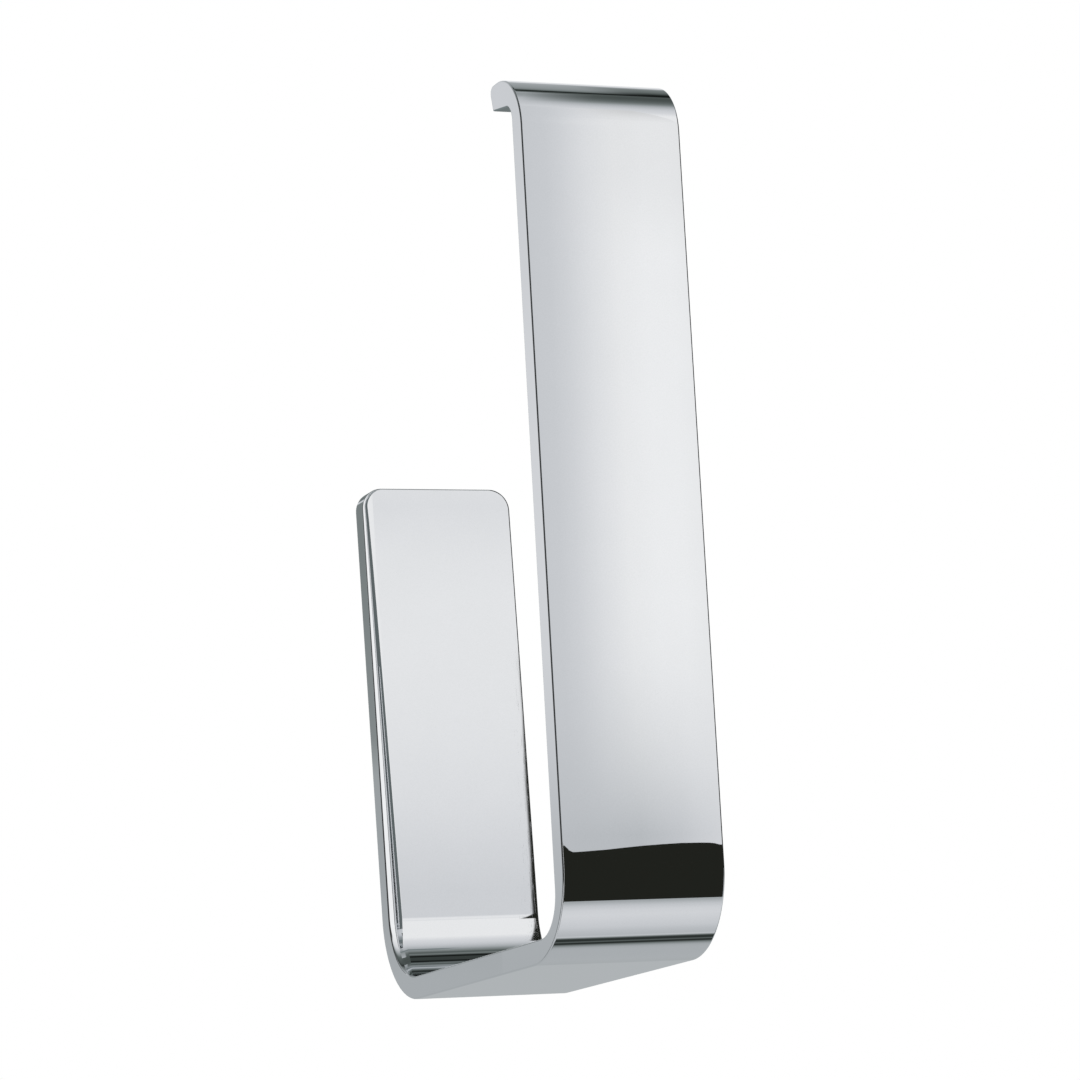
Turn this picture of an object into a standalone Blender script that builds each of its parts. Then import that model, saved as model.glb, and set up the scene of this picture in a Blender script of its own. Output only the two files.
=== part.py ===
"""Spare toilet roll holder, made as a flat chromed band bent to a J.

The front arm takes the roll's core and ends in a short lip, the bottom carries the roll, and the
short rear arm hangs on a wall bracket that lies in a pocket in its back. Two screws in wall plugs
hold the bracket, and a set screw in the rear arm's right edge locks the holder on it.

Lengths are in metres. +X is right as seen from the room, +Y points into the wall, +Z is up. The
origin is the middle of the bracket's back face, on the wall.
"""

import math

import bmesh
import bpy
from mathutils import Matrix

# Band: the main sizes of the J
band_width = 0.030
band_thickness = 0.0042
overall_height = 0.1535
overall_depth = 0.088
front_arm_lean = math.radians(2.5)
rear_arm_height = 0.098
lip_length = 0.0132

# Band: bends and rounded corners
top_bend_outer_radius = 0.010
top_bend_inner_radius = 0.0045
front_bend_outer_radius = 0.0158
front_bend_inner_radius = 0.008
rear_bend_outer_radius = 0.016
rear_bend_inner_radius = 0.012
lip_end_radius = 0.0022
rear_arm_corner_radius = 0.004
arris_radius = 0.0005

# Clearances
fit_gap = 0.0003
thread_gap = 0.00025
wall_gap = 0.0002
plug_slot_gap = 0.0002
lift_gap = 0.0005

# Wall bracket
bracket_height = 0.056
bracket_body_width = 0.0156
bracket_thickness = 0.0028
bracket_above_underside = 0.062
bracket_corner_radius = 0.0015
wing_reach = 0.0024
wing_height = 0.010
wing_thickness = 0.0011
wing_spacing = 0.036
wing_centre_height = -0.001
screw_seat_thickness = 0.0012
screw_spacing = 0.036
slot_travel = 0.0026
head_recess_gap = 0.0004

# Pocket in the back of the rear arm
pocket_depth = 0.0030
pocket_side_gap = 0.0003
ledge_thickness = 0.0010
notch_side_gap = 0.0006
lift_travel = 0.012
room_below_bracket = 0.002

# Wall screws and plugs
screw_diameter = 0.0035
screw_length = 0.030
screw_point_length = 0.005
screw_point_diameter = 0.0008
screw_head_diameter = 0.0078
screw_head_thickness = 0.0012
cross_recess_width = 0.0009
cross_recess_span = 0.0042
cross_recess_depth = 0.0007
plug_diameter = 0.005
plug_length = 0.025
plug_neck_length = 0.007
plug_split_width = 0.0009
plug_barb_count = 5
plug_barb_depth = 0.0003

# Set screw
set_screw_diameter = 0.0025
set_screw_height = -0.007
set_screw_recess = 0.0003
set_screw_chamfer = 0.0003
hex_socket_width = 0.0013
hex_socket_depth = 0.0013

# Fineness of the faceted surfaces
degrees_per_facet = 9
round_sides = 24
arris_facets = 3
corner_facets = 6

# Where each thing lies, worked out from the sizes above
half_width = band_width / 2
underside_height = -bracket_above_underside
top_height = underside_height + overall_height
rear_arm_top = underside_height + rear_arm_height
band_back = -wall_gap
pocket_floor = band_back - pocket_depth
ledge_front = band_back - ledge_thickness
wing_back = ledge_front - fit_gap
wing_front = wing_back - wing_thickness
bracket_top = bracket_height / 2
pocket_top = bracket_top + fit_gap
pocket_bottom = -bracket_height / 2 - lift_travel - room_below_bracket
wing_half_width = bracket_body_width / 2 + wing_reach
pocket_half_width = wing_half_width + pocket_side_gap
ledge_edge = bracket_body_width / 2 + pocket_side_gap
wing_heights = [wing_centre_height + side * wing_spacing / 2 for side in (-1, 1)]
screw_heights = [side * screw_spacing / 2 for side in (-1, 1)]
screw_seat = -screw_seat_thickness
slot_width = plug_diameter + 2 * plug_slot_gap
cutter_margin = 0.001


def clear_scene():
    """Remove whatever the scene holds."""
    for thing in list(bpy.data.objects):
        bpy.data.objects.remove(thing, do_unlink=True)


def material(name, colour, metallic, roughness):
    """Make a Principled material."""
    finish = bpy.data.materials.new(name)
    finish.use_nodes = True
    shader = finish.node_tree.nodes["Principled BSDF"]
    shader.inputs["Base Color"].default_value = (*colour, 1.0)
    shader.inputs["Metallic"].default_value = metallic
    shader.inputs["Roughness"].default_value = roughness
    return finish


def add_object(name, shape, finish=None):
    """Turn a bmesh into an object with smooth faces and sharp edges."""
    bmesh.ops.recalc_face_normals(shape, faces=shape.faces)
    mesh = bpy.data.meshes.new(name)
    shape.to_mesh(mesh)
    shape.free()
    thing = bpy.data.objects.new(name, mesh)
    bpy.context.scene.collection.objects.link(thing)
    mesh.shade_smooth()
    mesh.set_sharp_from_angle(angle=math.radians(30))
    if finish:
        mesh.materials.append(finish)
    return thing


def as_guide(thing):
    """Mark an object as a guide that only shapes others."""
    thing.hide_render = True
    thing.display_type = 'WIRE'
    return thing


def combine(target, guide, operation):
    """Cut a guide out of the target, or join it on."""
    change = target.modifiers.new(guide.name, 'BOOLEAN')
    change.operation = operation
    change.solver = 'EXACT'
    change.object = guide


def rounded_outline(corners):
    """Give the points of a closed outline whose corners (u, v, radius) become arcs."""
    points = []
    for index, (u, v, radius) in enumerate(corners):
        if radius == 0:
            points.append((u, v))
            continue
        before = corners[index - 1]
        after = corners[(index + 1) % len(corners)]
        towards_before = math.atan2(before[1] - v, before[0] - u)
        towards_after = math.atan2(after[1] - v, after[0] - u)
        opening = (towards_after - towards_before + math.pi) % (2 * math.pi) - math.pi
        middle = towards_before + opening / 2
        reach = radius / math.sin(abs(opening) / 2)
        centre_u = u + reach * math.cos(middle)
        centre_v = v + reach * math.sin(middle)
        turn = math.copysign(math.pi - abs(opening), opening)
        facets = max(2, round(abs(math.degrees(turn)) / degrees_per_facet))
        for step in range(facets + 1):
            angle = middle + math.pi + turn * (0.5 - step / facets)
            points.append((centre_u + radius * math.cos(angle), centre_v + radius * math.sin(angle)))
    return points


def prism(points, low, high, axis):
    """Extrude an outline from low to high along X, Y or Z."""
    place = {
        'X': lambda u, v, depth: (depth, u, v),
        'Y': lambda u, v, depth: (u, depth, v),
        'Z': lambda u, v, depth: (u, v, depth),
    }[axis]
    shape = bmesh.new()
    face = shape.faces.new([shape.verts.new(place(u, v, low)) for u, v in points])
    grown = bmesh.ops.extrude_face_region(shape, geom=[face])
    moved = [item for item in grown["geom"] if isinstance(item, bmesh.types.BMVert)]
    bmesh.ops.translate(shape, verts=moved, vec=place(0, 0, high - low))
    return shape


def box(x_range, y_range, z_range):
    """Make a box from its limits."""
    (left, right), (low, high) = x_range, z_range
    return prism([(left, low), (right, low), (right, high), (left, high)], *y_range, 'Y')


def slot(width, travel, y_range, height):
    """Make a round-ended slot prism along Y, longer than wide by its travel."""
    points = []
    for end, first in ((1, 0), (-1, 180)):
        for step in range(round_sides // 2 + 1):
            angle = math.radians(first + 360 * step / round_sides)
            across = width / 2 * math.cos(angle)
            up = height + end * travel / 2 + width / 2 * math.sin(angle)
            points.append((across, up))
    return prism(points, *y_range, 'Y')


def turned(profile, sides=round_sides):
    """Spin a profile of (radius, height) points about Z into a closed solid."""
    shape = bmesh.new()
    rim = [shape.verts.new((radius, 0, height)) for radius, height in profile]
    edges = [shape.edges.new(pair) for pair in zip(rim, rim[1:])]
    bmesh.ops.spin(
        shape, geom=rim + edges, cent=(0, 0, 0), axis=(0, 0, 1), angle=2 * math.pi, steps=sides,
        use_merge=True,
    )
    bmesh.ops.remove_doubles(shape, verts=shape.verts, dist=1e-6)
    return shape


def aim(thing, axis, location):
    """Turn an object's own Z along the world's X or Y, and place it."""
    turn = {'X': ('Y', math.pi / 2), 'Y': ('X', -math.pi / 2)}[axis]
    thing.matrix_world = Matrix.Translation(location) @ Matrix.Rotation(turn[1], 4, turn[0])
    return thing


def band_side_outline():
    """Give the J as seen from its side, as (y, z) points."""
    lean = math.tan(front_arm_lean)
    front = -overall_depth
    front_inside = front + band_thickness / math.cos(front_arm_lean)
    floor = underside_height + band_thickness
    top_front = front - lean * overall_height
    lip_underside = top_height - band_thickness
    corners = [
        (top_front + lip_length, top_height, lip_end_radius),
        (top_front, top_height, top_bend_outer_radius),
        (front, underside_height, front_bend_outer_radius),
        (band_back, underside_height, rear_bend_outer_radius),
        (band_back, rear_arm_top, 0),
        (band_back - band_thickness, rear_arm_top, 0),
        (band_back - band_thickness, floor, rear_bend_inner_radius),
        (front_inside - lean * band_thickness, floor, front_bend_inner_radius),
        (front_inside - lean * (overall_height - band_thickness), lip_underside, top_bend_inner_radius),
        (top_front + lip_length, lip_underside, 0),
    ]
    return rounded_outline(corners)


def make_holder_band(finish):
    """Make the J with its rounded arrises, its pocket and the set screw's hole."""
    shape = prism(band_side_outline(), -half_width, half_width, 'X')
    corners = [
        edge for edge in shape.edges
        if all(abs(vert.co.z - rear_arm_top) < 1e-6 for vert in edge.verts)
        and abs(edge.verts[0].co.x - edge.verts[1].co.x) < 1e-6
    ]
    bmesh.ops.bevel(
        shape, geom=corners, offset=rear_arm_corner_radius, segments=corner_facets, profile=0.5,
        affect='EDGES',
    )
    band = add_object("holder_band", shape, finish)
    arris = band.modifiers.new("arris", 'BEVEL')
    arris.width = arris_radius
    arris.segments = arris_facets
    arris.limit_method = 'ANGLE'
    arris.angle_limit = math.radians(40)

    behind = cutter_margin
    pocket_outline = [
        (-ledge_edge, behind), (-ledge_edge, ledge_front), (-pocket_half_width, ledge_front),
        (-pocket_half_width, pocket_floor), (pocket_half_width, pocket_floor),
        (pocket_half_width, ledge_front), (ledge_edge, ledge_front), (ledge_edge, behind),
    ]
    pocket = add_object("pocket_cut", prism(pocket_outline, pocket_bottom, pocket_top, 'Z'))
    combine(band, as_guide(pocket), 'DIFFERENCE')
    notch_half_width = wing_half_width + notch_side_gap
    for number, height in enumerate(wing_heights, 1):
        entry = height - lift_travel
        reach = wing_height / 2 + lift_gap
        notch = add_object(f"wing_notch_cut_{number}", box(
            (-notch_half_width, notch_half_width), (ledge_front - fit_gap, behind),
            (entry - reach, entry + reach),
        ))
        combine(band, as_guide(notch), 'DIFFERENCE')
    hole_radius = set_screw_diameter / 2 + thread_gap
    hole = add_object("set_screw_hole_cut", turned([
        (0, 0), (hole_radius, 0), (hole_radius, band_width / 2), (0, band_width / 2),
    ]))
    aim(hole, 'X', (ledge_edge - cutter_margin, band_middle_depth(), set_screw_height))
    combine(band, as_guide(hole), 'DIFFERENCE')
    return band


def band_middle_depth():
    """Give the depth of the rear arm's middle, where the set screw lies."""
    return band_back - band_thickness / 2


def make_wall_bracket(finish):
    """Make the bracket with its four wings, screw slots and head recesses."""
    half = bracket_body_width / 2
    corners = [
        (-half, -bracket_top, bracket_corner_radius), (half, -bracket_top, bracket_corner_radius),
        (half, bracket_top, bracket_corner_radius), (-half, bracket_top, bracket_corner_radius),
    ]
    bracket = add_object(
        "wall_bracket", prism(rounded_outline(corners), -bracket_thickness, 0, 'Y'), finish)
    for number, height in enumerate(wing_heights, 1):
        wings = add_object(f"wing_pair_{number}", box(
            (-wing_half_width, wing_half_width), (wing_front, wing_back),
            (height - wing_height / 2, height + wing_height / 2),
        ))
        combine(bracket, as_guide(wings), 'UNION')
    head_width = screw_head_diameter + 2 * head_recess_gap
    for number, height in enumerate(screw_heights, 1):
        through = slot(slot_width, slot_travel, (-bracket_thickness - cutter_margin, cutter_margin), height)
        recess = slot(head_width, slot_travel, (-bracket_thickness - cutter_margin, screw_seat), height)
        for kind, shape in (("slot", through), ("recess", recess)):
            combine(bracket, as_guide(add_object(f"{kind}_cut_{number}", shape)), 'DIFFERENCE')
    return bracket


def make_wall_screw(name, height, finish):
    """Make one flat-headed wood screw, its head at the bracket's seat."""
    head_back = screw_seat - fit_gap
    head = screw_head_diameter / 2
    shank = screw_diameter / 2
    rounding = screw_head_thickness / 4
    screw = add_object(name, turned([
        (0, -screw_head_thickness),
        (head - 2 * rounding, -screw_head_thickness),
        (head, -screw_head_thickness + 2 * rounding),
        (head, 0),
        (shank, 0),
        (shank, screw_length - screw_point_length),
        (screw_point_diameter / 2, screw_length),
        (0, screw_length),
    ]), finish)
    aim(screw, 'Y', (0, head_back, height))
    recess_face = head_back - screw_head_thickness
    half_span, half_slot = cross_recess_span / 2, cross_recess_width / 2
    depth_range = (recess_face - cutter_margin, recess_face + cross_recess_depth)
    for kind, x_reach, z_reach in (("level", half_span, half_slot), ("upright", half_slot, half_span)):
        guide = add_object(f"{name}_{kind}_recess_cut", box(
            (-x_reach, x_reach), depth_range, (height - z_reach, height + z_reach)))
        combine(screw, as_guide(guide), 'DIFFERENCE')
    return screw


def make_wall_plug(name, height, finish):
    """Make one plug: a barbed sleeve, split in four behind its neck."""
    outer = plug_diameter / 2
    bore = screw_diameter / 2 + thread_gap
    profile = [(bore, 0), (outer, 0), (outer, plug_neck_length)]
    barb_pitch = (plug_length - plug_neck_length) / plug_barb_count
    for barb in range(plug_barb_count):
        start = plug_neck_length + barb * barb_pitch
        profile.append((outer - plug_barb_depth, start))
        profile.append((outer, start + barb_pitch))
    profile.append((bore, plug_length))
    profile.append((bore, 0))
    plug = add_object(name, turned(profile), finish)
    aim(plug, 'Y', (0, fit_gap, height))
    half_split = plug_split_width / 2
    depth_range = (fit_gap + plug_neck_length, fit_gap + plug_length + cutter_margin)
    wide = outer + cutter_margin
    for kind, x_reach, z_reach in (("level", wide, half_split), ("upright", half_split, wide)):
        guide = add_object(f"{name}_{kind}_split_cut", box(
            (-x_reach, x_reach), depth_range, (height - z_reach, height + z_reach)))
        combine(plug, as_guide(guide), 'DIFFERENCE')
    return plug


def make_set_screw(finish):
    """Make the set screw, from the bracket's side to just inside the band's edge."""
    tip = bracket_body_width / 2 + fit_gap
    length = half_width - set_screw_recess - tip
    radius = set_screw_diameter / 2
    screw = add_object("set_screw", turned([
        (0, 0),
        (radius - 2 * set_screw_chamfer, 0),
        (radius, 2 * set_screw_chamfer),
        (radius, length - set_screw_chamfer),
        (radius - set_screw_chamfer, length),
        (0, length),
    ]), finish)
    place = (tip, band_middle_depth(), set_screw_height)
    aim(screw, 'X', place)
    corner_radius = hex_socket_width / 2 / math.cos(math.radians(30))
    socket = add_object("hex_socket_cut", turned([
        (0, 0), (corner_radius, 0),
        (corner_radius, hex_socket_depth + cutter_margin), (0, hex_socket_depth + cutter_margin),
    ], sides=6))
    aim(socket, 'X', (tip + length - hex_socket_depth, place[1], place[2]))
    combine(screw, as_guide(socket), 'DIFFERENCE')
    return screw


def main():
    """Build the whole holder as it hangs on the wall."""
    clear_scene()
    chrome = material("polished_chrome", (0.80, 0.81, 0.82), 1.0, 0.05)
    steel = material("zinc_plated_steel", (0.56, 0.57, 0.58), 1.0, 0.35)
    stainless = material("stainless_steel", (0.50, 0.50, 0.49), 1.0, 0.25)
    nylon = material("grey_nylon", (0.42, 0.43, 0.44), 0.0, 0.55)
    make_holder_band(chrome)
    make_wall_bracket(steel)
    for side, height in zip(("lower", "upper"), screw_heights):
        make_wall_screw(f"{side}_wall_screw", height, steel)
        make_wall_plug(f"{side}_wall_plug", height, nylon)
    make_set_screw(stainless)


main()
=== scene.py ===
"""Looks of a spare toilet roll holder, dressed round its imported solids.

Lengths are in metres in the solids' own frame: +X is right as seen from the room, +Y points into
the wall, +Z is up, and the origin is the middle of the wall bracket's back face.
"""

import logging
import math
from collections.abc import Sequence
from dataclasses import dataclass, field
from enum import Enum, IntEnum
from typing import Any

import bmesh
import bpy
import numpy as np
from mathutils import Matrix, Vector


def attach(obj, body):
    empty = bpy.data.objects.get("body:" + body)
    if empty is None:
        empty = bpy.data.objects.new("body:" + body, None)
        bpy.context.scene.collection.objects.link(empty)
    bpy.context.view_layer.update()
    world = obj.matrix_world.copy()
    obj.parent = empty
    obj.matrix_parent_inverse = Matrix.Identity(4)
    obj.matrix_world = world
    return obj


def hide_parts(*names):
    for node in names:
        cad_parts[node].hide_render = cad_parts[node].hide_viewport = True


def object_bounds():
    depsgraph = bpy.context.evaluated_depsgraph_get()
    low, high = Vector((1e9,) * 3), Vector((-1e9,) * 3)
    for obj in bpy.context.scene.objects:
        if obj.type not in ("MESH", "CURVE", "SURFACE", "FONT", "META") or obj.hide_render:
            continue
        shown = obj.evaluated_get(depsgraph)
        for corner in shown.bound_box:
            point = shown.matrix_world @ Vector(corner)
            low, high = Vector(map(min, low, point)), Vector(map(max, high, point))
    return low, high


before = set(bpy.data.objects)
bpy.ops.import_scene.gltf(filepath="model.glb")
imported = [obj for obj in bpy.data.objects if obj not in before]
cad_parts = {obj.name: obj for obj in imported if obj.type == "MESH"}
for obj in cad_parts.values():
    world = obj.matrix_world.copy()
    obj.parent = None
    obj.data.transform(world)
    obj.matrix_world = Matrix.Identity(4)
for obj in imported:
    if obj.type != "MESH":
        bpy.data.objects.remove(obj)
SOLIDS_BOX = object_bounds()

logging.basicConfig(level=logging.INFO, format="%(message)s")
LOG = logging.getLogger("roll_holder")

MERGE_STEP = 1e-7
NEAR_DEGREES = 35.0
SCREW_HEIGHTS = {"lower": -0.018, "upper": 0.018}
Array = np.ndarray
Socket = bpy.types.NodeSocket
Source = Socket | float | Sequence[float]


class Body(Enum):
    """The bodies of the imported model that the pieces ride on."""

    WALL = "wall_fixing"
    HOLDER = "holder"
    SET_SCREW = "set_screw"


class Axis(IntEnum):
    """The directions of the solids' frame, by their place in a point."""

    X = 0
    Y = 1
    Z = 2


class Change(Enum):
    """What one solid does to another, as the Boolean modifier names it."""

    CUT = "DIFFERENCE"
    JOIN = "UNION"


class Slot(Enum):
    """The record's material slots."""

    CHROME = "polished_chrome"
    ZINC = "zinc_plated_steel"
    STAINLESS = "stainless_steel"
    NYLON = "grey_nylon"


def smooth_rise(value: Array, low: float, high: float) -> Array:
    """Climb from 0 to 1 without corners: 3 t squared minus 2 t cubed, t held within 0 and 1.

    Args:
        value: Where to read the climb.
        low: Where it leaves 0.
        high: Where it reaches 1.

    Returns:
        The height of the climb at each value.
    """
    t = np.clip((value - low) / (high - low), 0.0, 1.0)
    return t * t * (3.0 - 2.0 * t)


@dataclass
class Shell:
    """A closed surface gathered from grids of points, each point with its true normal."""

    points: list[Array] = field(default_factory=list)
    normals: list[Array] = field(default_factory=list)
    quads: list[Array] = field(default_factory=list)
    size: int = 0

    def add_grid(self, points: Array, normals: Array, round_columns: bool = False) -> None:
        """Add one patch whose faces join each point to its neighbours in the grid.

        Args:
            points: Places, shaped rows by columns by 3.
            normals: Outward directions, shaped as the points.
            round_columns: Join the last column to the first.
        """
        rows, columns = points.shape[:2]
        index = self.size + np.arange(rows * columns).reshape(rows, columns)
        if round_columns:
            index = np.hstack([index, index[:, :1]])
        corners = [index[:-1, :-1], index[:-1, 1:], index[1:, 1:], index[1:, :-1]]
        self.quads.append(np.stack([corner.ravel() for corner in corners], axis=1))
        self.points.append(points.reshape(-1, 3))
        self.normals.append(np.broadcast_to(normals, points.shape).reshape(-1, 3))
        self.size += rows * columns

    def add_mirrored(self, points: Array, normals: Array) -> None:
        """Add a patch and its mirror image across the plane X = 0."""
        across = np.array([-1.0, 1.0, 1.0])
        self.add_grid(points, normals)
        self.add_grid(points * across, normals * across)

    def make(self, name: str) -> bpy.types.Object:
        """Join the patches where they meet, and turn every face outwards.

        Args:
            name: The new object's name.

        Returns:
            The object, smooth, with the true normals at its corners.
        """
        places = np.vstack(self.points)
        normals = np.vstack(self.normals)
        quads = np.vstack(self.quads)
        cells = np.round(places / MERGE_STEP).astype(np.int64)
        _, first, joined = np.unique(cells, axis=0, return_index=True, return_inverse=True)
        joined = joined.reshape(-1)
        spread_a = places[quads[:, 2]] - places[quads[:, 0]]
        spread_b = places[quads[:, 3]] - places[quads[:, 1]]
        facing = np.einsum("ij,ij->i", np.cross(spread_a, spread_b), normals[quads].sum(axis=1))
        quads = np.where(facing[:, None] < 0, quads[:, ::-1], quads)
        ring = joined[quads]
        distinct = ring != np.roll(ring, -1, axis=1)
        distinct[np.count_nonzero(distinct, axis=1) < 3] = False
        counts = np.count_nonzero(distinct, axis=1)
        mesh = bpy.data.meshes.new(name)
        fill_mesh(mesh, places[first], ring[distinct], counts[counts > 0])
        mesh.normals_split_custom_set(unit(normals[quads[distinct]]).tolist())
        return place_object(name, mesh)


def unit(vectors: Array) -> Array:
    """Scale each vector to length 1."""
    return vectors / np.linalg.norm(vectors, axis=-1, keepdims=True)


def fill_mesh(mesh: bpy.types.Mesh, points: Array, loops: Array, counts: Array) -> None:
    """Write points and faces into an empty mesh as whole arrays.

    Args:
        mesh: The mesh to fill.
        points: One place a row.
        loops: The point of every face corner, face after face.
        counts: How many corners each face has.
    """
    mesh.vertices.add(len(points))
    mesh.vertices.foreach_set("co", points.astype(np.float32).ravel())
    mesh.loops.add(len(loops))
    mesh.loops.foreach_set("vertex_index", loops.astype(np.int32))
    mesh.polygons.add(len(counts))
    starts = np.concatenate([[0], np.cumsum(counts)[:-1]])
    mesh.polygons.foreach_set("loop_start", starts.astype(np.int32))
    mesh.polygons.foreach_set("use_smooth", np.ones(len(counts), dtype=bool))
    mesh.update(calc_edges=True)


def place_object(name: str, mesh: bpy.types.Mesh) -> bpy.types.Object:
    """Show a mesh as an object at the origin.

    Args:
        name: The new object's name.
        mesh: The mesh.

    Returns:
        The object.
    """
    thing = bpy.data.objects.new(name, mesh)
    bpy.context.scene.collection.objects.link(thing)
    return thing


def prism(name: str, outline: Array, low: float, high: float, axis: Axis) -> bpy.types.Object:
    """Draw a closed outline out along one axis into a solid with flat ends.

    Args:
        name: The new object's name.
        outline: Points (u, v) in the plane of the other two axes, in their order.
        low: Where the solid starts on the axis.
        high: Where it ends.
        axis: The axis that it is drawn along.

    Returns:
        The solid.
    """
    count = len(outline)
    low_end = np.insert(outline, axis, low, axis=1)
    high_end = np.insert(outline, axis, high, axis=1)
    here = np.arange(count)
    after = np.roll(here, -1)
    walls = np.stack([here, after, after + count, here + count], axis=1)
    mesh = bpy.data.meshes.new(name)
    ends = [here[::-1].tolist(), (here + count).tolist()]
    mesh.from_pydata(np.vstack([low_end, high_end]).tolist(), [], walls.tolist() + ends)
    edge = outline[after] - outline
    turned_area = np.sum(outline[:, 0] * edge[:, 1] - outline[:, 1] * edge[:, 0])
    if (turned_area < 0) != (axis is Axis.Y):
        mesh.flip_normals()
    mesh.update()
    return place_object(name, mesh)


def rectangle(u_range: tuple[float, float], v_range: tuple[float, float]) -> Array:
    """Give the four corners of an upright rectangle."""
    (u0, u1), (v0, v1) = u_range, v_range
    return np.array([(u0, v0), (u1, v0), (u1, v1), (u0, v1)])


def stadium(width: float, travel: float, height: float, steps: int = 24) -> Array:
    """Give an upright slot's outline: two half circles a travel apart, joined by straights.

    Args:
        width: The slot's width, twice the half circles' radius.
        travel: How far their centres lie apart.
        height: The height of the slot's middle.
        steps: How many steps each half circle takes.

    Returns:
        The outline's points (x, z).
    """
    angle = np.linspace(0.0, math.pi, steps + 1)
    lift = np.repeat([height + travel / 2, height - travel / 2], steps + 1)
    both = np.concatenate([angle, angle + math.pi])
    return np.stack([width / 2 * np.cos(both), lift + width / 2 * np.sin(both)], axis=1)


def rounded_rectangle(half_u: float, half_v: float, radius: float, steps: int = 10) -> Array:
    """Give a rectangle's outline with its corners as quarter circles.

    Args:
        half_u: Half its size along u.
        half_v: Half its size along v.
        radius: The corners' radius.
        steps: How many steps each corner takes.

    Returns:
        The outline's points (u, v), about the origin.
    """
    quarter = np.linspace(0.0, math.pi / 2, steps + 1)
    angle = np.concatenate([quarter + turn * math.pi / 2 for turn in range(4)])
    u_sign = np.repeat([1, -1, -1, 1], steps + 1)
    v_sign = np.repeat([1, 1, -1, -1], steps + 1)
    u = u_sign * (half_u - radius) + radius * np.cos(angle)
    v = v_sign * (half_v - radius) + radius * np.sin(angle)
    return np.stack([u, v], axis=1)


def carve(
    target: bpy.types.Object, tools: Sequence[bpy.types.Object], change: Change = Change.CUT,
) -> None:
    """Cut solids out of a piece, or join them on, and keep only the result.

    Args:
        target: The piece, whose mesh is exchanged for the result.
        tools: The solids, which are removed afterwards.
        change: What each of them does to the piece.
    """
    for tool in tools:
        modifier = target.modifiers.new(tool.name, "BOOLEAN")
        modifier.operation = change.value
        modifier.solver = "EXACT"
        modifier.object = tool
    depsgraph = bpy.context.evaluated_depsgraph_get()
    result = bpy.data.meshes.new_from_object(target.evaluated_get(depsgraph))
    target.modifiers.clear()
    old, target.data = target.data, result
    result.name = target.name
    bpy.data.meshes.remove(old)
    for tool in tools:
        bpy.data.objects.remove(tool, do_unlink=True)


def keep_true_normals(piece: bpy.types.Object, places: Array, normals: Array) -> None:
    """Give a carved piece its true normals back: old points keep theirs, new faces are flat.

    A corner takes its old normal only where that lies within the near angle of its face, so the
    edges of a cut stay sharp.

    Args:
        piece: The carved piece.
        places: The points before the cut.
        normals: The normal of each of them.
    """
    near = math.cos(math.radians(NEAR_DEGREES))
    mesh = piece.data
    now = np.empty(len(mesh.vertices) * 3, np.float32)
    mesh.vertices.foreach_get("co", now)
    cells = np.round(np.vstack([places, now.reshape(-1, 3)]) / (10 * MERGE_STEP)).astype(np.int64)
    _, first, joined = np.unique(cells, axis=0, return_index=True, return_inverse=True)
    source = first[joined.reshape(-1)[len(places):]]
    known = source < len(places)
    vertex_normal = np.where(known[:, None], normals[np.where(known, source, 0)], 0.0)
    corner_vertex = np.empty(len(mesh.loops), np.int32)
    mesh.loops.foreach_get("vertex_index", corner_vertex)
    counts = np.empty(len(mesh.polygons), np.int32)
    mesh.polygons.foreach_get("loop_total", counts)
    flat = np.empty(len(mesh.polygons) * 3, np.float32)
    mesh.polygons.foreach_get("normal", flat)
    face_normal = np.repeat(flat.reshape(-1, 3), counts, axis=0)
    wanted = vertex_normal[corner_vertex]
    fits = np.einsum("ij,ij->i", wanted, face_normal) > near
    mesh.polygons.foreach_set("use_smooth", np.ones(len(counts), dtype=bool))
    mesh.normals_split_custom_set(np.where(fits[:, None], wanted, face_normal).tolist())


def traced(
    corners: Sequence[tuple[float, float, float]], steps: Sequence[int], side: int,
) -> tuple[Array, Array]:
    """Follow a line of straights whose inner corners are arcs that touch both neighbours.

    On an arc the point is the arc's centre plus its radius in the turning direction, and on a
    straight it moves evenly from one arc's end to the next one's start.

    Args:
        corners: The line's corners (u, v, radius). The first and last are its plain ends.
        steps: How many steps each straight and arc takes, in turn.
        side: 1 if the outside lies left of the way the line runs, and -1 if right.

    Returns:
        The points and their outward normals, each as rows of (u, v).
    """
    spots = np.array([corner[:2] for corner in corners])
    ways = unit(np.diff(spots, axis=0))
    start, heading = spots[0], np.arctan2(ways[:, 1], ways[:, 0])
    points, headings = [], []
    for number, (spot, way) in enumerate(zip(spots[1:], ways)):
        last = number == len(ways) - 1
        radius = 0.0 if last else corners[number + 1][2]
        turn = 0.0 if last else math.remainder(heading[number + 1] - heading[number], math.tau)
        touch = spot - way * radius * math.tan(abs(turn) / 2)
        t = np.linspace(0.0, 1.0, steps[2 * number], endpoint=False)[:, None]
        points.append(start + (touch - start) * t)
        headings.append(np.full(len(t), heading[number]))
        if last:
            points.append(touch[None])
            headings.append(heading[number:])
            break
        bend = math.copysign(1.0, turn)
        centre = touch + radius * bend * np.array([-way[1], way[0]])
        angle = heading[number] + turn * np.linspace(0.0, 1.0, steps[2 * number + 1], endpoint=False)
        spokes = np.stack([np.sin(angle), -np.cos(angle)], axis=1) * bend
        points.append(centre + radius * spokes)
        headings.append(angle)
        end = heading[number] + turn
        start = centre + radius * bend * np.array([math.sin(end), -math.cos(end)])
    way = np.concatenate(headings)
    return np.vstack(points), side * np.stack([-np.sin(way), np.cos(way)], axis=1)


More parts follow.
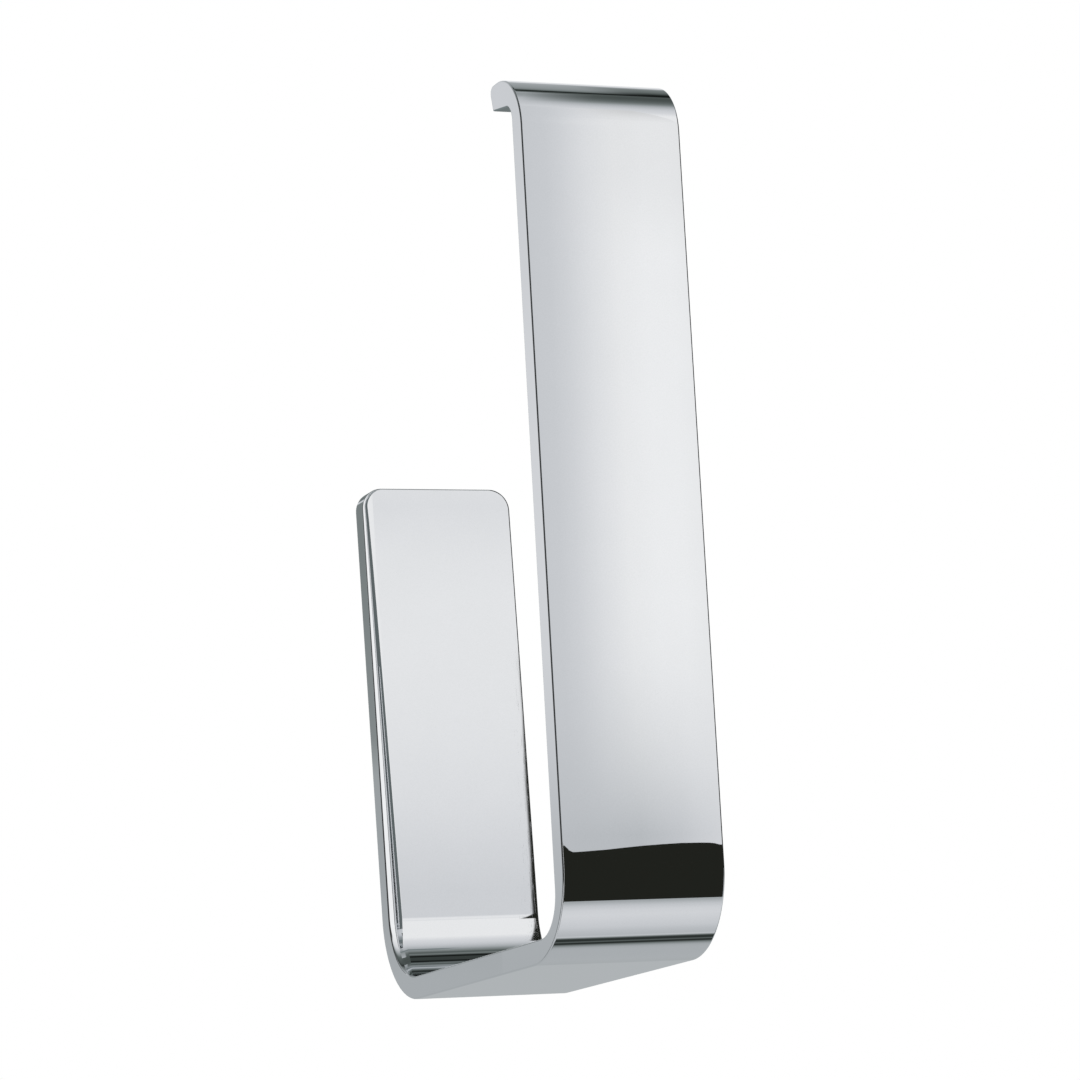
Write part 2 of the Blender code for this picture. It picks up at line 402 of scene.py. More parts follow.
@dataclass
class Band:
    """The flat bar bent to a J: rear arm, bottom, front arm, and a lip bent back from its top.

    Radii are given outside first. The lip's end leans back by lip_end_lean. Its underside lies
    lower than the thickness by lip_drop at the end, and by lip_sag more at the front arm. The
    rear arm's left front arris is worn to the widths in worn_arris, from its top to its foot,
    and worn_depth times as deep as wide, growing by the distance to the power wear_power.
    """

    width: float = 0.030
    thickness: float = 0.0042
    height: float = 0.1535
    depth: float = 0.088
    lean: float = math.radians(2.5)
    rear_height: float = 0.098
    lip: float = 0.0132
    underside: float = -0.062
    back: float = -0.0002
    top_radii: tuple[float, float] = (0.010, 0.0028)
    front_radii: tuple[float, float] = (0.0158, 0.008)
    rear_radii: tuple[float, float] = (0.016, 0.012)
    lip_end_radius: float = 0.0014
    lip_end_lean: float = 0.0010
    lip_drop: float = 0.0003
    lip_sag: float = 0.0014
    corner: float = 0.004
    arris: float = 0.0003
    worn_arris: tuple[float, float] = (0.0010, 0.0026)
    worn_depth: float = 0.325
    wear_power: float = 0.8
    arris_steps: int = 12
    corner_steps: int = 14
    width_steps: int = 40
    line_steps: tuple[int, ...] = (30, 36, 20, 40, 70, 40, 6, 16, 2)

    def outlines(self) -> tuple[tuple[Array, Array], tuple[Array, Array]]:
        """Trace the outer and the inner line of the J, from the rear arm's corners to the lip's end.

        Both lines take the same number of steps on each stretch, so that they pair up.

        Returns:
            The outer and the inner line, each as its points (y, z) and outward normals.
        """
        slope = math.tan(self.lean)
        front = -self.depth
        front_inside = front + self.thickness / math.cos(self.lean)
        floor = self.underside + self.thickness
        top = self.underside + self.height
        top_front = front - slope * self.height
        lip_end = top_front + self.lip + self.lip_end_lean / 2
        lip_under = top - self.thickness - self.lip_drop
        lip_root = lip_under - self.lip_sag
        start = self.underside + self.rear_height - self.corner
        middle = (lip_end - self.lip_end_lean / 2, top - self.thickness / 2)
        outer = traced([
            (self.back, start, 0),
            (self.back, self.underside, self.rear_radii[0]),
            (front, self.underside, self.front_radii[0]),
            (top_front, top, self.top_radii[0]),
            (lip_end, top, self.lip_end_radius),
            (*middle, 0),
        ], self.line_steps, 1)
        inner = traced([
            (self.back - self.thickness, start, 0),
            (self.back - self.thickness, floor, self.rear_radii[1]),
            (front_inside - slope * (floor - self.underside), floor, self.front_radii[1]),
            (front_inside - slope * (lip_root - self.underside), lip_root, self.top_radii[1]),
            (lip_end - self.lip_end_lean, lip_under, self.arris),
            (*middle, 0),
        ], self.line_steps, -1)
        return outer, inner

    def across(self) -> tuple[Array, Array]:
        """Give the columns that lie across the band, from its middle to a side.

        Returns:
            For each column the share of the flat width, then the arris angle: a right angle on
            the flat, 0 on the side face.
        """
        t = np.linspace(0.0, 1.0, self.width_steps // 2 + 1)
        flat = np.sin(t * math.pi / 2)
        turn = np.linspace(math.pi / 2, 0.0, self.arris_steps + 1)[1:]
        share = np.concatenate([flat, np.ones(self.arris_steps)])
        angle = np.concatenate([np.full(len(flat), math.pi / 2), turn])
        return share, angle

    def half_skin(
        self, line: Array, outward: Array, corner_angle: Array, worn: Array, side: float,
    ) -> tuple[Array, Array]:
        """Carry the cross-section along one line, for one half of the band.

        On the flat, a point is the line's point moved across by its share of the half width. On
        the arris it follows a quarter of an ellipse from the face to the side, round where the
        arris is as sharp as it was made, and wide but shallow where it is worn. In the rear
        arm's corner the side itself turns about the corner's centre.

        Args:
            line: Points (y, z).
            outward: Their normals.
            corner_angle: How far the side has turned at each point, 0 away from the corner.
            worn: The arris' width at each point.
            side: 1 for the right half, -1 for the left half.

        Returns:
            The grid's places and normals.
        """
        share, angle = self.across()
        turn, wide = corner_angle[:, None], worn[:, None]
        deep = np.maximum(self.arris, wide * self.worn_depth)
        reach = self.corner - wide * (1.0 - np.cos(angle))
        x = side * share * (self.width / 2 - self.corner + reach * np.cos(turn))
        up = (reach + (1.0 - share) * (wide - self.arris)) * np.sin(turn)
        sink = deep * (1.0 - np.sin(angle))
        y = line[:, :1] - sink * outward[:, :1]
        z = line[:, 1:] + up - sink * outward[:, 1:]
        to_face = wide * np.sin(angle)
        to_side = deep * np.cos(angle)
        normals = np.stack([
            side * to_side * np.cos(turn),
            to_face * outward[:, :1],
            to_face * outward[:, 1:] + to_side * np.sin(turn),
        ], axis=2)
        return np.stack([x, y, z], axis=2), unit(normals)

    def wear(self, travelled: Array, corner_angle: Array) -> Array:
        """Give the width of the rear arm's left front arris, along the inner line.

        It grows down the arm by a power of the distance, and is back to the made arris at the
        arm's top end and after the bend at its foot.

        Args:
            travelled: The distance along the line from the arm's rounded corner.
            corner_angle: How far the side has turned at each point.

        Returns:
            The width at each point.
        """
        bend = self.rear_radii[1]
        straight = self.rear_height - self.corner - self.thickness - bend
        least, most = self.worn_arris
        wide = least + (most - least) * np.clip(travelled / straight, 0.0, 1.0) ** self.wear_power
        last = straight + bend * math.pi / 2
        kept = (1.0 - corner_angle / (math.pi / 2)) * smooth_rise(last - travelled, 0.0, bend)
        return self.arris + (wide - self.arris) * kept

    def skin(self) -> Shell:
        """Join the faces, sides and rear end of the J into one closed shell in the solids' box.

        The faces take each line from the middle to either side, and a strip joins the two rims
        of a side.

        Returns:
            The shell.
        """
        (outer, outer_normal), (inner, inner_normal) = self.outlines()
        outer = np.maximum(outer, np.array(SOLIDS_BOX[0])[1:])
        corner_turn = np.linspace(math.pi / 2, 0.0, self.corner_steps + 1)[:-1]
        turn = np.concatenate([corner_turn, np.zeros(len(outer))])
        shell = Shell()
        rims = {1.0: [], -1.0: []}
        for line, outward, is_inner in ((outer, outer_normal, False), (inner, inner_normal, True)):
            line = np.vstack([np.repeat(line[:1], len(corner_turn), axis=0), line])
            outward = np.vstack([np.repeat(outward[:1], len(corner_turn), axis=0), outward])
            lengths = np.linalg.norm(np.diff(line, axis=0), axis=1)
            travelled = np.concatenate([[0.0], np.cumsum(lengths)])
            made = np.full(len(line), self.arris)
            for side, rim in rims.items():
                wide = self.wear(travelled, turn) if is_inner and side < 0 else made
                places, normals = self.half_skin(line, outward, turn, wide, side)
                shell.add_grid(places, normals)
                rim.append((places[:, -1], normals[:, -1]))
        for (outer_rim, normal), (inner_rim, _) in rims.values():
            shell.add_grid(np.stack([outer_rim, inner_rim], axis=1), normal[:, None])
        self.add_top_end(shell, places[0], self.underside + self.rear_height)
        return shell

    def add_top_end(self, shell: Shell, row: Array, top: float) -> None:
        """Close the rear arm's flat top between its two rounded corners.

        The end is a strip across the band: a quarter circle from the back to the top, the flat
        top, and a quarter circle down to the front.

        Args:
            shell: The shell to close.
            row: The last row of a face, from the middle to a side.
            top: The height of the rear arm's end.
        """
        flat = self.across()[1] == math.pi / 2
        turn = np.linspace(math.pi / 2, 0.0, self.arris_steps + 1)
        low = top - self.arris * (1.0 - np.cos(turn))
        back_y = self.back - self.arris * (1.0 - np.sin(turn))
        front_y = self.back - self.thickness + self.arris * (1.0 - np.sin(turn))
        y = np.concatenate([back_y, front_y[::-1]])
        z = np.concatenate([low, low[::-1]])
        y_way = np.concatenate([np.sin(turn), -np.sin(turn[::-1])])
        z_way = np.concatenate([np.cos(turn), np.cos(turn[::-1])])
        x = row[flat, 0]
        across = np.ones((len(y), 1))
        places = np.stack([across * x, y[:, None] + 0 * x, z[:, None] + 0 * x], axis=2)
        normals = np.stack([0 * across * x, y_way[:, None] + 0 * x, z_way[:, None] + 0 * x], axis=2)
        shell.add_mirrored(places, normals)


@dataclass
class BackPocket:
    """The hollow in the rear arm's back: ledges hook behind the bracket's wings.

    Depths are from the band's back. The cutters reach past the surfaces they open by over.
    """

    floor_depth: float = 0.0030
    ledge_thickness: float = 0.0010
    ledge_edge: float = 0.0081
    half_width: float = 0.0105
    notch_half_width: float = 0.0108
    notch_depth: float = 0.0013
    top: float = 0.0283
    bottom: float = -0.042
    notch_heights: tuple[float, float] = (-0.031, 0.005)
    notch_reach: float = 0.0055
    hole_radius: float = 0.0015
    hole_height: float = -0.007
    hole_depth: float = 0.0021
    hole_steps: int = 48
    over: float = 0.001

    def cutters(self, band: Band) -> list[bpy.types.Object]:
        """Make the solids that are cut out of the band.

        Args:
            band: The band, whose back the depths are measured from.

        Returns:
            The pocket, its two notches and the set screw's hole.
        """
        ledge_front = band.back - self.ledge_thickness
        notch_floor = band.back - self.notch_depth
        floor = band.back - self.floor_depth
        outline = np.array([
            (-self.ledge_edge, self.over), (-self.ledge_edge, ledge_front),
            (-self.half_width, ledge_front), (-self.half_width, floor),
            (self.half_width, floor), (self.half_width, ledge_front),
            (self.ledge_edge, ledge_front), (self.ledge_edge, self.over),
        ])
        made = [prism("pocket", outline, self.bottom, self.top, Axis.Z)]
        for number, height in enumerate(self.notch_heights):
            reach = (height - self.notch_reach, height + self.notch_reach)
            block = rectangle((-self.notch_half_width, self.notch_half_width), reach)
            made.append(prism(f"notch_{number}", block, notch_floor, self.over, Axis.Y))
        angle = np.linspace(0.0, math.tau, self.hole_steps, endpoint=False)
        around = self.hole_radius * np.stack([np.cos(angle), np.sin(angle)], axis=1)
        centre = np.array([band.back - self.hole_depth, self.hole_height])
        low = self.ledge_edge - self.over
        made.append(prism("screw_hole", around + centre, low, band.width, Axis.X))
        return made


@dataclass
class HolderBand:
    """The chromed J as one piece."""

    band: Band = field(default_factory=Band)
    pocket: BackPocket = field(default_factory=BackPocket)

    def build(self, finish: "ChromeFinish") -> bpy.types.Object:
        """Make the band, cut its pocket and dress it.

        Args:
            finish: The chrome.

        Returns:
            The finished piece.
        """
        shell = self.band.skin()
        places, normals = np.vstack(shell.points), np.vstack(shell.normals)
        piece = shell.make("polished_band")
        carve(piece, self.pocket.cutters(self.band))
        keep_true_normals(piece, places, normals)
        dress(piece, finish, Body.HOLDER, "holder_band")
        return piece


@dataclass
class WallBracket:
    """The stamped plate on the wall, with four wings, two upright slots and head recesses.

    The slots and recesses are longer than wide by travel, and the recesses' floors lie at seat.
    """

    half_width: float = 0.0078
    half_height: float = 0.028
    thickness: float = 0.0028
    corner: float = 0.0015
    wing_reach: float = 0.0024
    wing_height: float = 0.010
    wing_back: float = -0.0015
    wing_front: float = -0.0026
    wing_heights: tuple[float, float] = (-0.019, 0.017)
    screw_heights: tuple[float, ...] = tuple(SCREW_HEIGHTS.values())
    slot_width: float = 0.0054
    recess_width: float = 0.0086
    travel: float = 0.0026
    seat: float = -0.0012
    edge_radius: float = 0.00025
    edge_segments: int = 3
    edge_degrees: float = 50.0
    wing_corner: float = 0.0008
    over: float = 0.001

    def build(self, finish: "ZincFinish") -> bpy.types.Object:
        """Make the plate, join its wings, cut its slots and round its edges.

        Args:
            finish: The zinc plating.

        Returns:
            The finished piece.
        """
        outline = rounded_rectangle(self.half_width, self.half_height, self.corner)
        plate = prism("stamped_bracket", outline, -self.thickness, 0.0, Axis.Y)
        wings = []
        for number, height in enumerate(self.wing_heights):
            reach = self.half_width + self.wing_reach
            wing = rounded_rectangle(reach, self.wing_height / 2, self.wing_corner) + (0.0, height)
            wings.append(prism(f"wing_{number}", wing, self.wing_front, self.wing_back, Axis.Y))
        carve(plate, wings, Change.JOIN)
        cutters = []
        for number, height in enumerate(self.screw_heights):
            slot = stadium(self.slot_width, self.travel, height)
            recess = stadium(self.recess_width, self.travel, height)
            low = -self.thickness - self.over
            cutters.append(prism(f"slot_{number}", slot, low, self.over, Axis.Y))
            cutters.append(prism(f"recess_{number}", recess, low, self.seat, Axis.Y))
        carve(plate, cutters)
        edges = plate.modifiers.new("rounded_edges", "BEVEL")
        edges.width = self.edge_radius
        edges.segments = self.edge_segments
        edges.limit_method = "ANGLE"
        edges.angle_limit = math.radians(self.edge_degrees)
        edges.harden_normals = True
        plate.data.shade_smooth()
        dress(plate, finish, Body.WALL, "wall_bracket")
        return plate


def smooth_normals(places: Array) -> Array:
    """Work out a grid's normals as the cross product of its two steps, rows then columns.

    Args:
        places: A grid of points whose last column meets the first.

    Returns:
        The outward normals, for a grid whose rows run along the axis and whose columns run
        round it. Poles take the normal of the row next to them.
    """
    along = np.gradient(places, axis=0)
    around = np.roll(places, -1, axis=1) - np.roll(places, 1, axis=1)
    crossed = np.cross(along, around)
    length = np.linalg.norm(crossed, axis=-1, keepdims=True)
    crossed = np.where(length > 0, crossed, np.roll(crossed, 1, axis=0))
    return crossed / np.maximum(np.linalg.norm(crossed, axis=-1, keepdims=True), 1e-20)


@dataclass(frozen=True)
class Thread:
    """A helical ridge round a core, which fades in and out over one pitch at its ends.

    The crest is the flat share of the pitch, and the flanks rise by the power hollow.
    """

    pitch: float
    core: float
    ridge: float
    crest: float
    starts: float
    ends: float
    hollow: float = 1.4

    def radius(self, along: Array, angle: Array) -> Array:
        """Give the core's radius plus the ridge, a rounded wedge that advances with the angle.

        Args:
            along: Places along the axis.
            angle: Places round it.

        Returns:
            The radius at each place.
        """
        phase = np.mod(along / self.pitch - angle / math.tau, 1.0)
        wedge = np.clip((0.5 - np.abs(phase - 0.5)) / (0.5 - self.crest / 2), 0.0, 1.0)
        fade = smooth_rise(along, self.starts, self.starts + self.pitch)
        fade = fade * (1.0 - smooth_rise(along, self.ends - self.pitch, self.ends))
        return self.core + self.ridge * fade * wedge ** self.hollow


def all_round(column: Array, angle: Array) -> Array:
    """Repeat a column of values at every angle round an axis."""
    return column.reshape(-1, 1) + 0.0 * angle


def lathe(rows: Array, radius: Array, angle: Array, axis: Axis, centre: Sequence[float]) -> Array:
    """Place a surface round an axis: out by its radius at each angle, along by its row.

    Args:
        rows: Where each row lies on the axis, or each point of the grid.
        radius: The radius at each point of the grid.
        angle: The angle of each column.
        axis: The axis' direction, X or Y.
        centre: A point on the axis.

    Returns:
        The grid's places.
    """
    along = np.broadcast_to(rows if rows.ndim == 2 else rows[:, None], radius.shape)
    first, second = radius * np.cos(angle), radius * np.sin(angle)
    parts = [along, first, second] if axis is Axis.X else [second, along, first]
    return np.stack(parts, axis=2) + np.asarray(centre)


@dataclass
class WallScrew:
    """A countersunk wood screw with a flat head and a cross recess.

    Its crests stay inside the diameter by slack. The point narrows smoothly over point_length
    towards a spot point_lead past the end, but to no less than point_share of the shank.
    """

    name: str
    node: str
    height: float
    diameter: float = 0.0035
    length: float = 0.030
    pitch: float = 0.00135
    core: float = 0.00122
    slack: float = 0.00001
    crest: float = 0.12
    thread_start: float = 0.0022
    point_length: float = 0.005
    point_lead: float = 0.0002
    point_share: float = 0.02
    head_radius: float = 0.0039
    head_thickness: float = 0.0012
    head_back: float = -0.0015
    rim_inset: float = 0.5
    recess_span: float = 0.0042
    recess_width: float = 0.0009
    recess_depth: float = 0.0007
    recess_blur: float = 0.00012
    sharp_degrees: float = 40.0
    steps_round: int = 48
    shank_steps: int = 420
    seat_steps: int = 6
    rim_steps: int = 9
    face_steps: int = 34

    def build(self, finish: "ZincFinish") -> bpy.types.Object:
        """Turn the shank with its thread and point, then the head with its recess.

        Args:
            finish: The zinc plating.

        Returns:
            The finished piece.
        """
        angle = np.linspace(0.0, math.tau, self.steps_round, endpoint=False)
        ridge = self.diameter / 2 - self.core - self.slack
        thread = Thread(self.pitch, self.core, ridge, self.crest, self.thread_start, self.length)
        shank = np.linspace(0.0, self.length, self.shank_steps)
        taper = smooth_rise(self.length - shank, -self.point_lead, self.point_length)[:, None]
        shank_radius = thread.radius(shank[:, None], angle) * np.maximum(taper, self.point_share)
        seat = np.linspace(self.head_radius, self.core, self.seat_steps)
        rim_turn = np.linspace(0.0, math.pi, self.rim_steps)
        half_rim = self.head_thickness / 2
        rim = self.head_radius - half_rim * self.rim_inset * (1.0 - np.sin(rim_turn))
        rim_along = -half_rim - half_rim * np.cos(rim_turn)
        face_radius = all_round(np.linspace(0.0, rim[0], self.face_steps), angle)
        face_sink = self.recess_sink(face_radius * np.sin(angle), face_radius * np.cos(angle))
        tip = np.array([self.length])
        along = np.vstack([
            face_sink - self.head_thickness,
            all_round(np.concatenate([rim_along[1:], np.zeros(len(seat) - 1), shank[1:], tip]), angle),
        ])
        radius = np.vstack([
            face_radius, all_round(np.concatenate([rim[1:], seat[1:]]), angle), shank_radius[1:],
            all_round(0.0 * tip, angle),
        ])
        places = lathe(along, radius, angle, Axis.Y, (0.0, self.head_back, self.height))
        shell = Shell()
        shell.add_grid(places, smooth_normals(places), round_columns=True)
        piece = shell.make(self.name)
        settle_shading(piece, self.sharp_degrees)
        dress(piece, finish, Body.WALL, self.node)
        return piece

    def recess_sink(self, across: Array, up: Array) -> Array:
        """Give how deep the head's face is sunk: full depth within either arm of the cross.

        Args:
            across: Places across the head, from its middle.
            up: Places up it.

        Returns:
            The depth at each place.
        """
        half, reach = self.recess_width / 2, self.recess_span / 2

        def within(place: Array, limit: float) -> Array:
            """Give 1 inside the limit and 0 outside, blurred just within it."""
            return 1 - smooth_rise(np.abs(place), limit - self.recess_blur, limit)

        lying = within(up, half) * within(across, reach)
        standing = within(across, half) * within(up, reach)
        return self.recess_depth * np.maximum(lying, standing)


@dataclass
class WallPlug:
    """A nylon sleeve: a plain neck, then four barbed legs with splits between them.

    The neck reaches over the legs by overlap. A barb has risen to the full radius at the share
    grown of its length, and past the share dropped it falls back halfway to its start.
    """

    name: str
    node: str
    height: float
    front: float = 0.0003
    radius: float = 0.0025
    bore: float = 0.0020
    length: float = 0.025
    neck: float = 0.007
    overlap: float = 0.0002
    split: float = 0.0009
    legs: int = 4
    barbs: int = 5
    barb_depth: float = 0.0003
    grown: float = 0.92
    dropped: float = 0.97
    barb_marks: tuple[float, ...] = (0.0, 0.03, 0.3, 0.6, 0.9, 0.965, 0.975)
    tip_taper: float = 0.0002
    tip_length: float = 0.002
    edge: float = 0.00012
    sharp_degrees: float = 38.0
    steps_round: int = 64
    leg_steps: int = 15

    def build(self, finish: "NylonFinish") -> bpy.types.Object:
        """Make the neck and the legs as closed shells of one piece.

        Args:
            finish: The nylon.

        Returns:
            The finished piece.
        """
        shell = Shell()
        self.add_neck(shell)
        for number in range(self.legs):
            self.add_leg(shell, (number + 0.5) * math.tau / self.legs)
        piece = shell.make(self.name)
        settle_shading(piece, self.sharp_degrees)
        dress(piece, finish, Body.WALL, self.node)
        return piece

    def add_neck(self, shell: Shell) -> None:
        """Turn the neck's section, a thin rectangle with broken edges, round the axis.

        Args:
            shell: The shell that takes the neck.
        """
        angle = np.linspace(0.0, math.tau, self.steps_round, endpoint=False)
        inner, outer, edge = self.bore, self.radius, self.edge
        back = self.neck + self.overlap
        section = np.array([
            (inner + edge, 0.0), (outer - edge, 0.0), (outer, edge), (outer, back - edge),
            (outer - edge, back), (inner, back), (inner, edge), (inner + edge, 0.0),
        ])
        radius = all_round(section[:, 0], angle)
        places = lathe(section[:, 1], radius, angle, Axis.Y, (0.0, self.front, self.height))
        middle = np.array([(inner + outer) / 2, back / 2])
        way = unit(section - middle)
        facing = lathe(way[:, 1], all_round(way[:, 0], angle), angle, Axis.Y, (0.0, 0.0, 0.0))
        shell.add_grid(places, unit(facing), round_columns=True)

    def outer_line(self, along: Array) -> Array:
        """Give the legs' outer radius: each barb grows evenly backwards and then drops off.

        Args:
            along: Places along the plug.

        Returns:
            The radius at each place.
        """
        pitch = (self.length - self.neck) / self.barbs
        share = np.mod((along - self.neck) / pitch, 1.0)
        share = np.where(along <= self.neck, 1.0, share)
        drop = self.barb_depth * (1.0 - np.clip(share / self.grown, 0.0, 1.0))
        drop = np.where(share > self.dropped, self.barb_depth / 2, drop)
        taper = self.tip_taper * smooth_rise(along, self.length - self.tip_length, self.length)
        return self.radius - drop - taper

    def add_leg(self, shell: Shell, middle: float) -> None:
        """Carry a leg's section, an arc-shaped block, along the axis.

        Args:
            shell: The shell that takes the leg.
            middle: The angle of the leg's middle.
        """
        pitch = (self.length - self.neck) / self.barbs
        marks = np.array(self.barb_marks)
        along = np.concatenate([self.neck + (number + marks) * pitch for number in range(self.barbs)])
        along = np.append(along, self.length)
        outer = self.outer_line(along)[:, None]
        sweep = np.linspace(-1.0, 1.0, self.leg_steps)
        outer_half = math.pi / self.legs - np.arcsin(self.split / 2 / outer)
        inner_half = math.pi / self.legs - math.asin(self.split / 2 / self.bore)
        angle = np.hstack([middle + outer_half * sweep, middle + inner_half * sweep[::-1] + 0.0 * outer])
        radius = np.hstack([outer + 0.0 * sweep, self.bore + 0.0 * outer * sweep])
        places = np.stack([
            radius * np.sin(angle), self.front + along[:, None] + 0.0 * angle,
            self.height + radius * np.cos(angle),
        ], axis=2)
        heart = places.mean(axis=1, keepdims=True)
        shell.add_grid(places, unit(places - heart), round_columns=True)
        count = len(sweep)
        for row, way in ((0, -1.0), (-1, 1.0)):
            end = np.stack([places[row, :count], places[row, count:][::-1]])
            shell.add_grid(end, np.array([0.0, way, 0.0]))


@dataclass
class SetScrew:
    """The grub screw in the rear arm's edge, with its thread and hexagon socket.

    Along it come the flat tip with its broken edge, the cone, the thread, and the end with a
    chamfer to the hexagon's mouth. The socket's floor is drilled a little deeper. Tip edge,
    mouth and drilling are each a distance and a share of the radius. The thread fades in and
    out at thread_ends, in pitches.
    """

    tip: float = 0.0081
    length: float = 0.0066
    radius: float = 0.00125
    centre: tuple[float, float] = (-0.0023, -0.007)
    pitch: float = 0.00045
    root: float = 0.00017
    ridge: float = 0.00016
    crest: float = 0.15
    thread_ends: tuple[float, float] = (0.4, 0.2)
    tip_share: float = 0.52
    tip_edge: tuple[float, float] = (0.00006, 0.9)
    cone_length: float = 0.00045
    thread_from: float = 0.0005
    thread_to: float = 0.00018
    rim: float = 0.0003
    socket_width: float = 0.0013
    socket_depth: float = 0.0013
    mouth: tuple[float, float] = (0.00008, 1.1)
    drilled: tuple[tuple[float, float], ...] = ((0.0001, 0.7), (0.0003, 0.0))
    sharp_degrees: float = 35.0
    steps_round: int = 60
    thread_steps: int = 170

    def build(self, finish: "StainlessFinish") -> bpy.types.Object:
        """Turn the point, the threaded body and the socketed end in one grid.

        Args:
            finish: The steel.

        Returns:
            The finished piece.
        """
        angle = np.linspace(0.0, math.tau, self.steps_round, endpoint=False)
        core = self.radius - self.root
        run_in, run_out = self.thread_ends
        starts, ends = self.pitch * run_in, self.length - self.pitch * run_out
        thread = Thread(self.pitch, core, self.ridge, self.crest, starts, ends)
        body = np.linspace(self.thread_from, self.length - self.thread_to, self.thread_steps)
        hexagon = self.socket_width / 2 / np.cos(np.mod(angle, math.pi / 3) - math.pi / 6)
        ones = np.ones(len(angle))
        tip_radius = self.radius * self.tip_share
        edge_along, edge_share = self.tip_edge
        mouth_depth, mouth_share = self.mouth
        floor = self.length - self.socket_depth
        tip_rings = [
            (0.0, 0.0 * ones), (0.0, tip_radius * edge_share * ones), (edge_along, tip_radius * ones),
            (self.cone_length, core * ones),
        ]
        end_rings = [
            (self.length, (self.radius - self.rim) * ones), (self.length, hexagon * mouth_share),
            (self.length - mouth_depth, hexagon), (floor, hexagon),
        ] + [(floor - deeper, hexagon * share) for deeper, share in self.drilled]
        tip_along, tip_radii = zip(*tip_rings)
        end_along, end_radii = zip(*end_rings)
        along = np.concatenate([tip_along, body, end_along])
        radius = np.vstack([*tip_radii, thread.radius(body[:, None], angle), *end_radii])
        places = lathe(along, radius, angle, Axis.X, (self.tip, *self.centre))
        shell = Shell()
        shell.add_grid(places, smooth_normals(places), round_columns=True)
        piece = shell.make("threaded_set_screw")
        settle_shading(piece, self.sharp_degrees)
        dress(piece, finish, Body.SET_SCREW, "set_screw")
        return piece


def settle_shading(piece: bpy.types.Object, sharp_degrees: float) -> None:
    """Turn a closed mesh outwards and shade it smooth, but for edges sharper than an angle.

    Args:
        piece: The piece.
        sharp_degrees: The angle.
    """
    mesh = piece.data
    shape = bmesh.new()
    shape.from_mesh(mesh)
    bmesh.ops.recalc_face_normals(shape, faces=shape.faces)
    shape.to_mesh(mesh)
    shape.free()
    if "custom_normal" in mesh.attributes:
        mesh.attributes.remove(mesh.attributes["custom_normal"])
    mesh.shade_smooth()
    mesh.set_sharp_from_angle(angle=math.radians(sharp_degrees))


def dress(piece: bpy.types.Object, finish: "Finish", body: Body, node: str) -> None:
    """Give a piece its finish, its body and the node that it stands for.

    Args:
        piece: The piece.
        finish: Its finish.
        body: The body that it rides on.
        node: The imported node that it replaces.
    """
    piece.data.materials.clear()
    piece.data.materials.append(finish.material())
    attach(piece, body.value)
    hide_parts(node)
    LOG.info("%s stands for %s: %d faces", piece.name, node, len(piece.data.polygons))


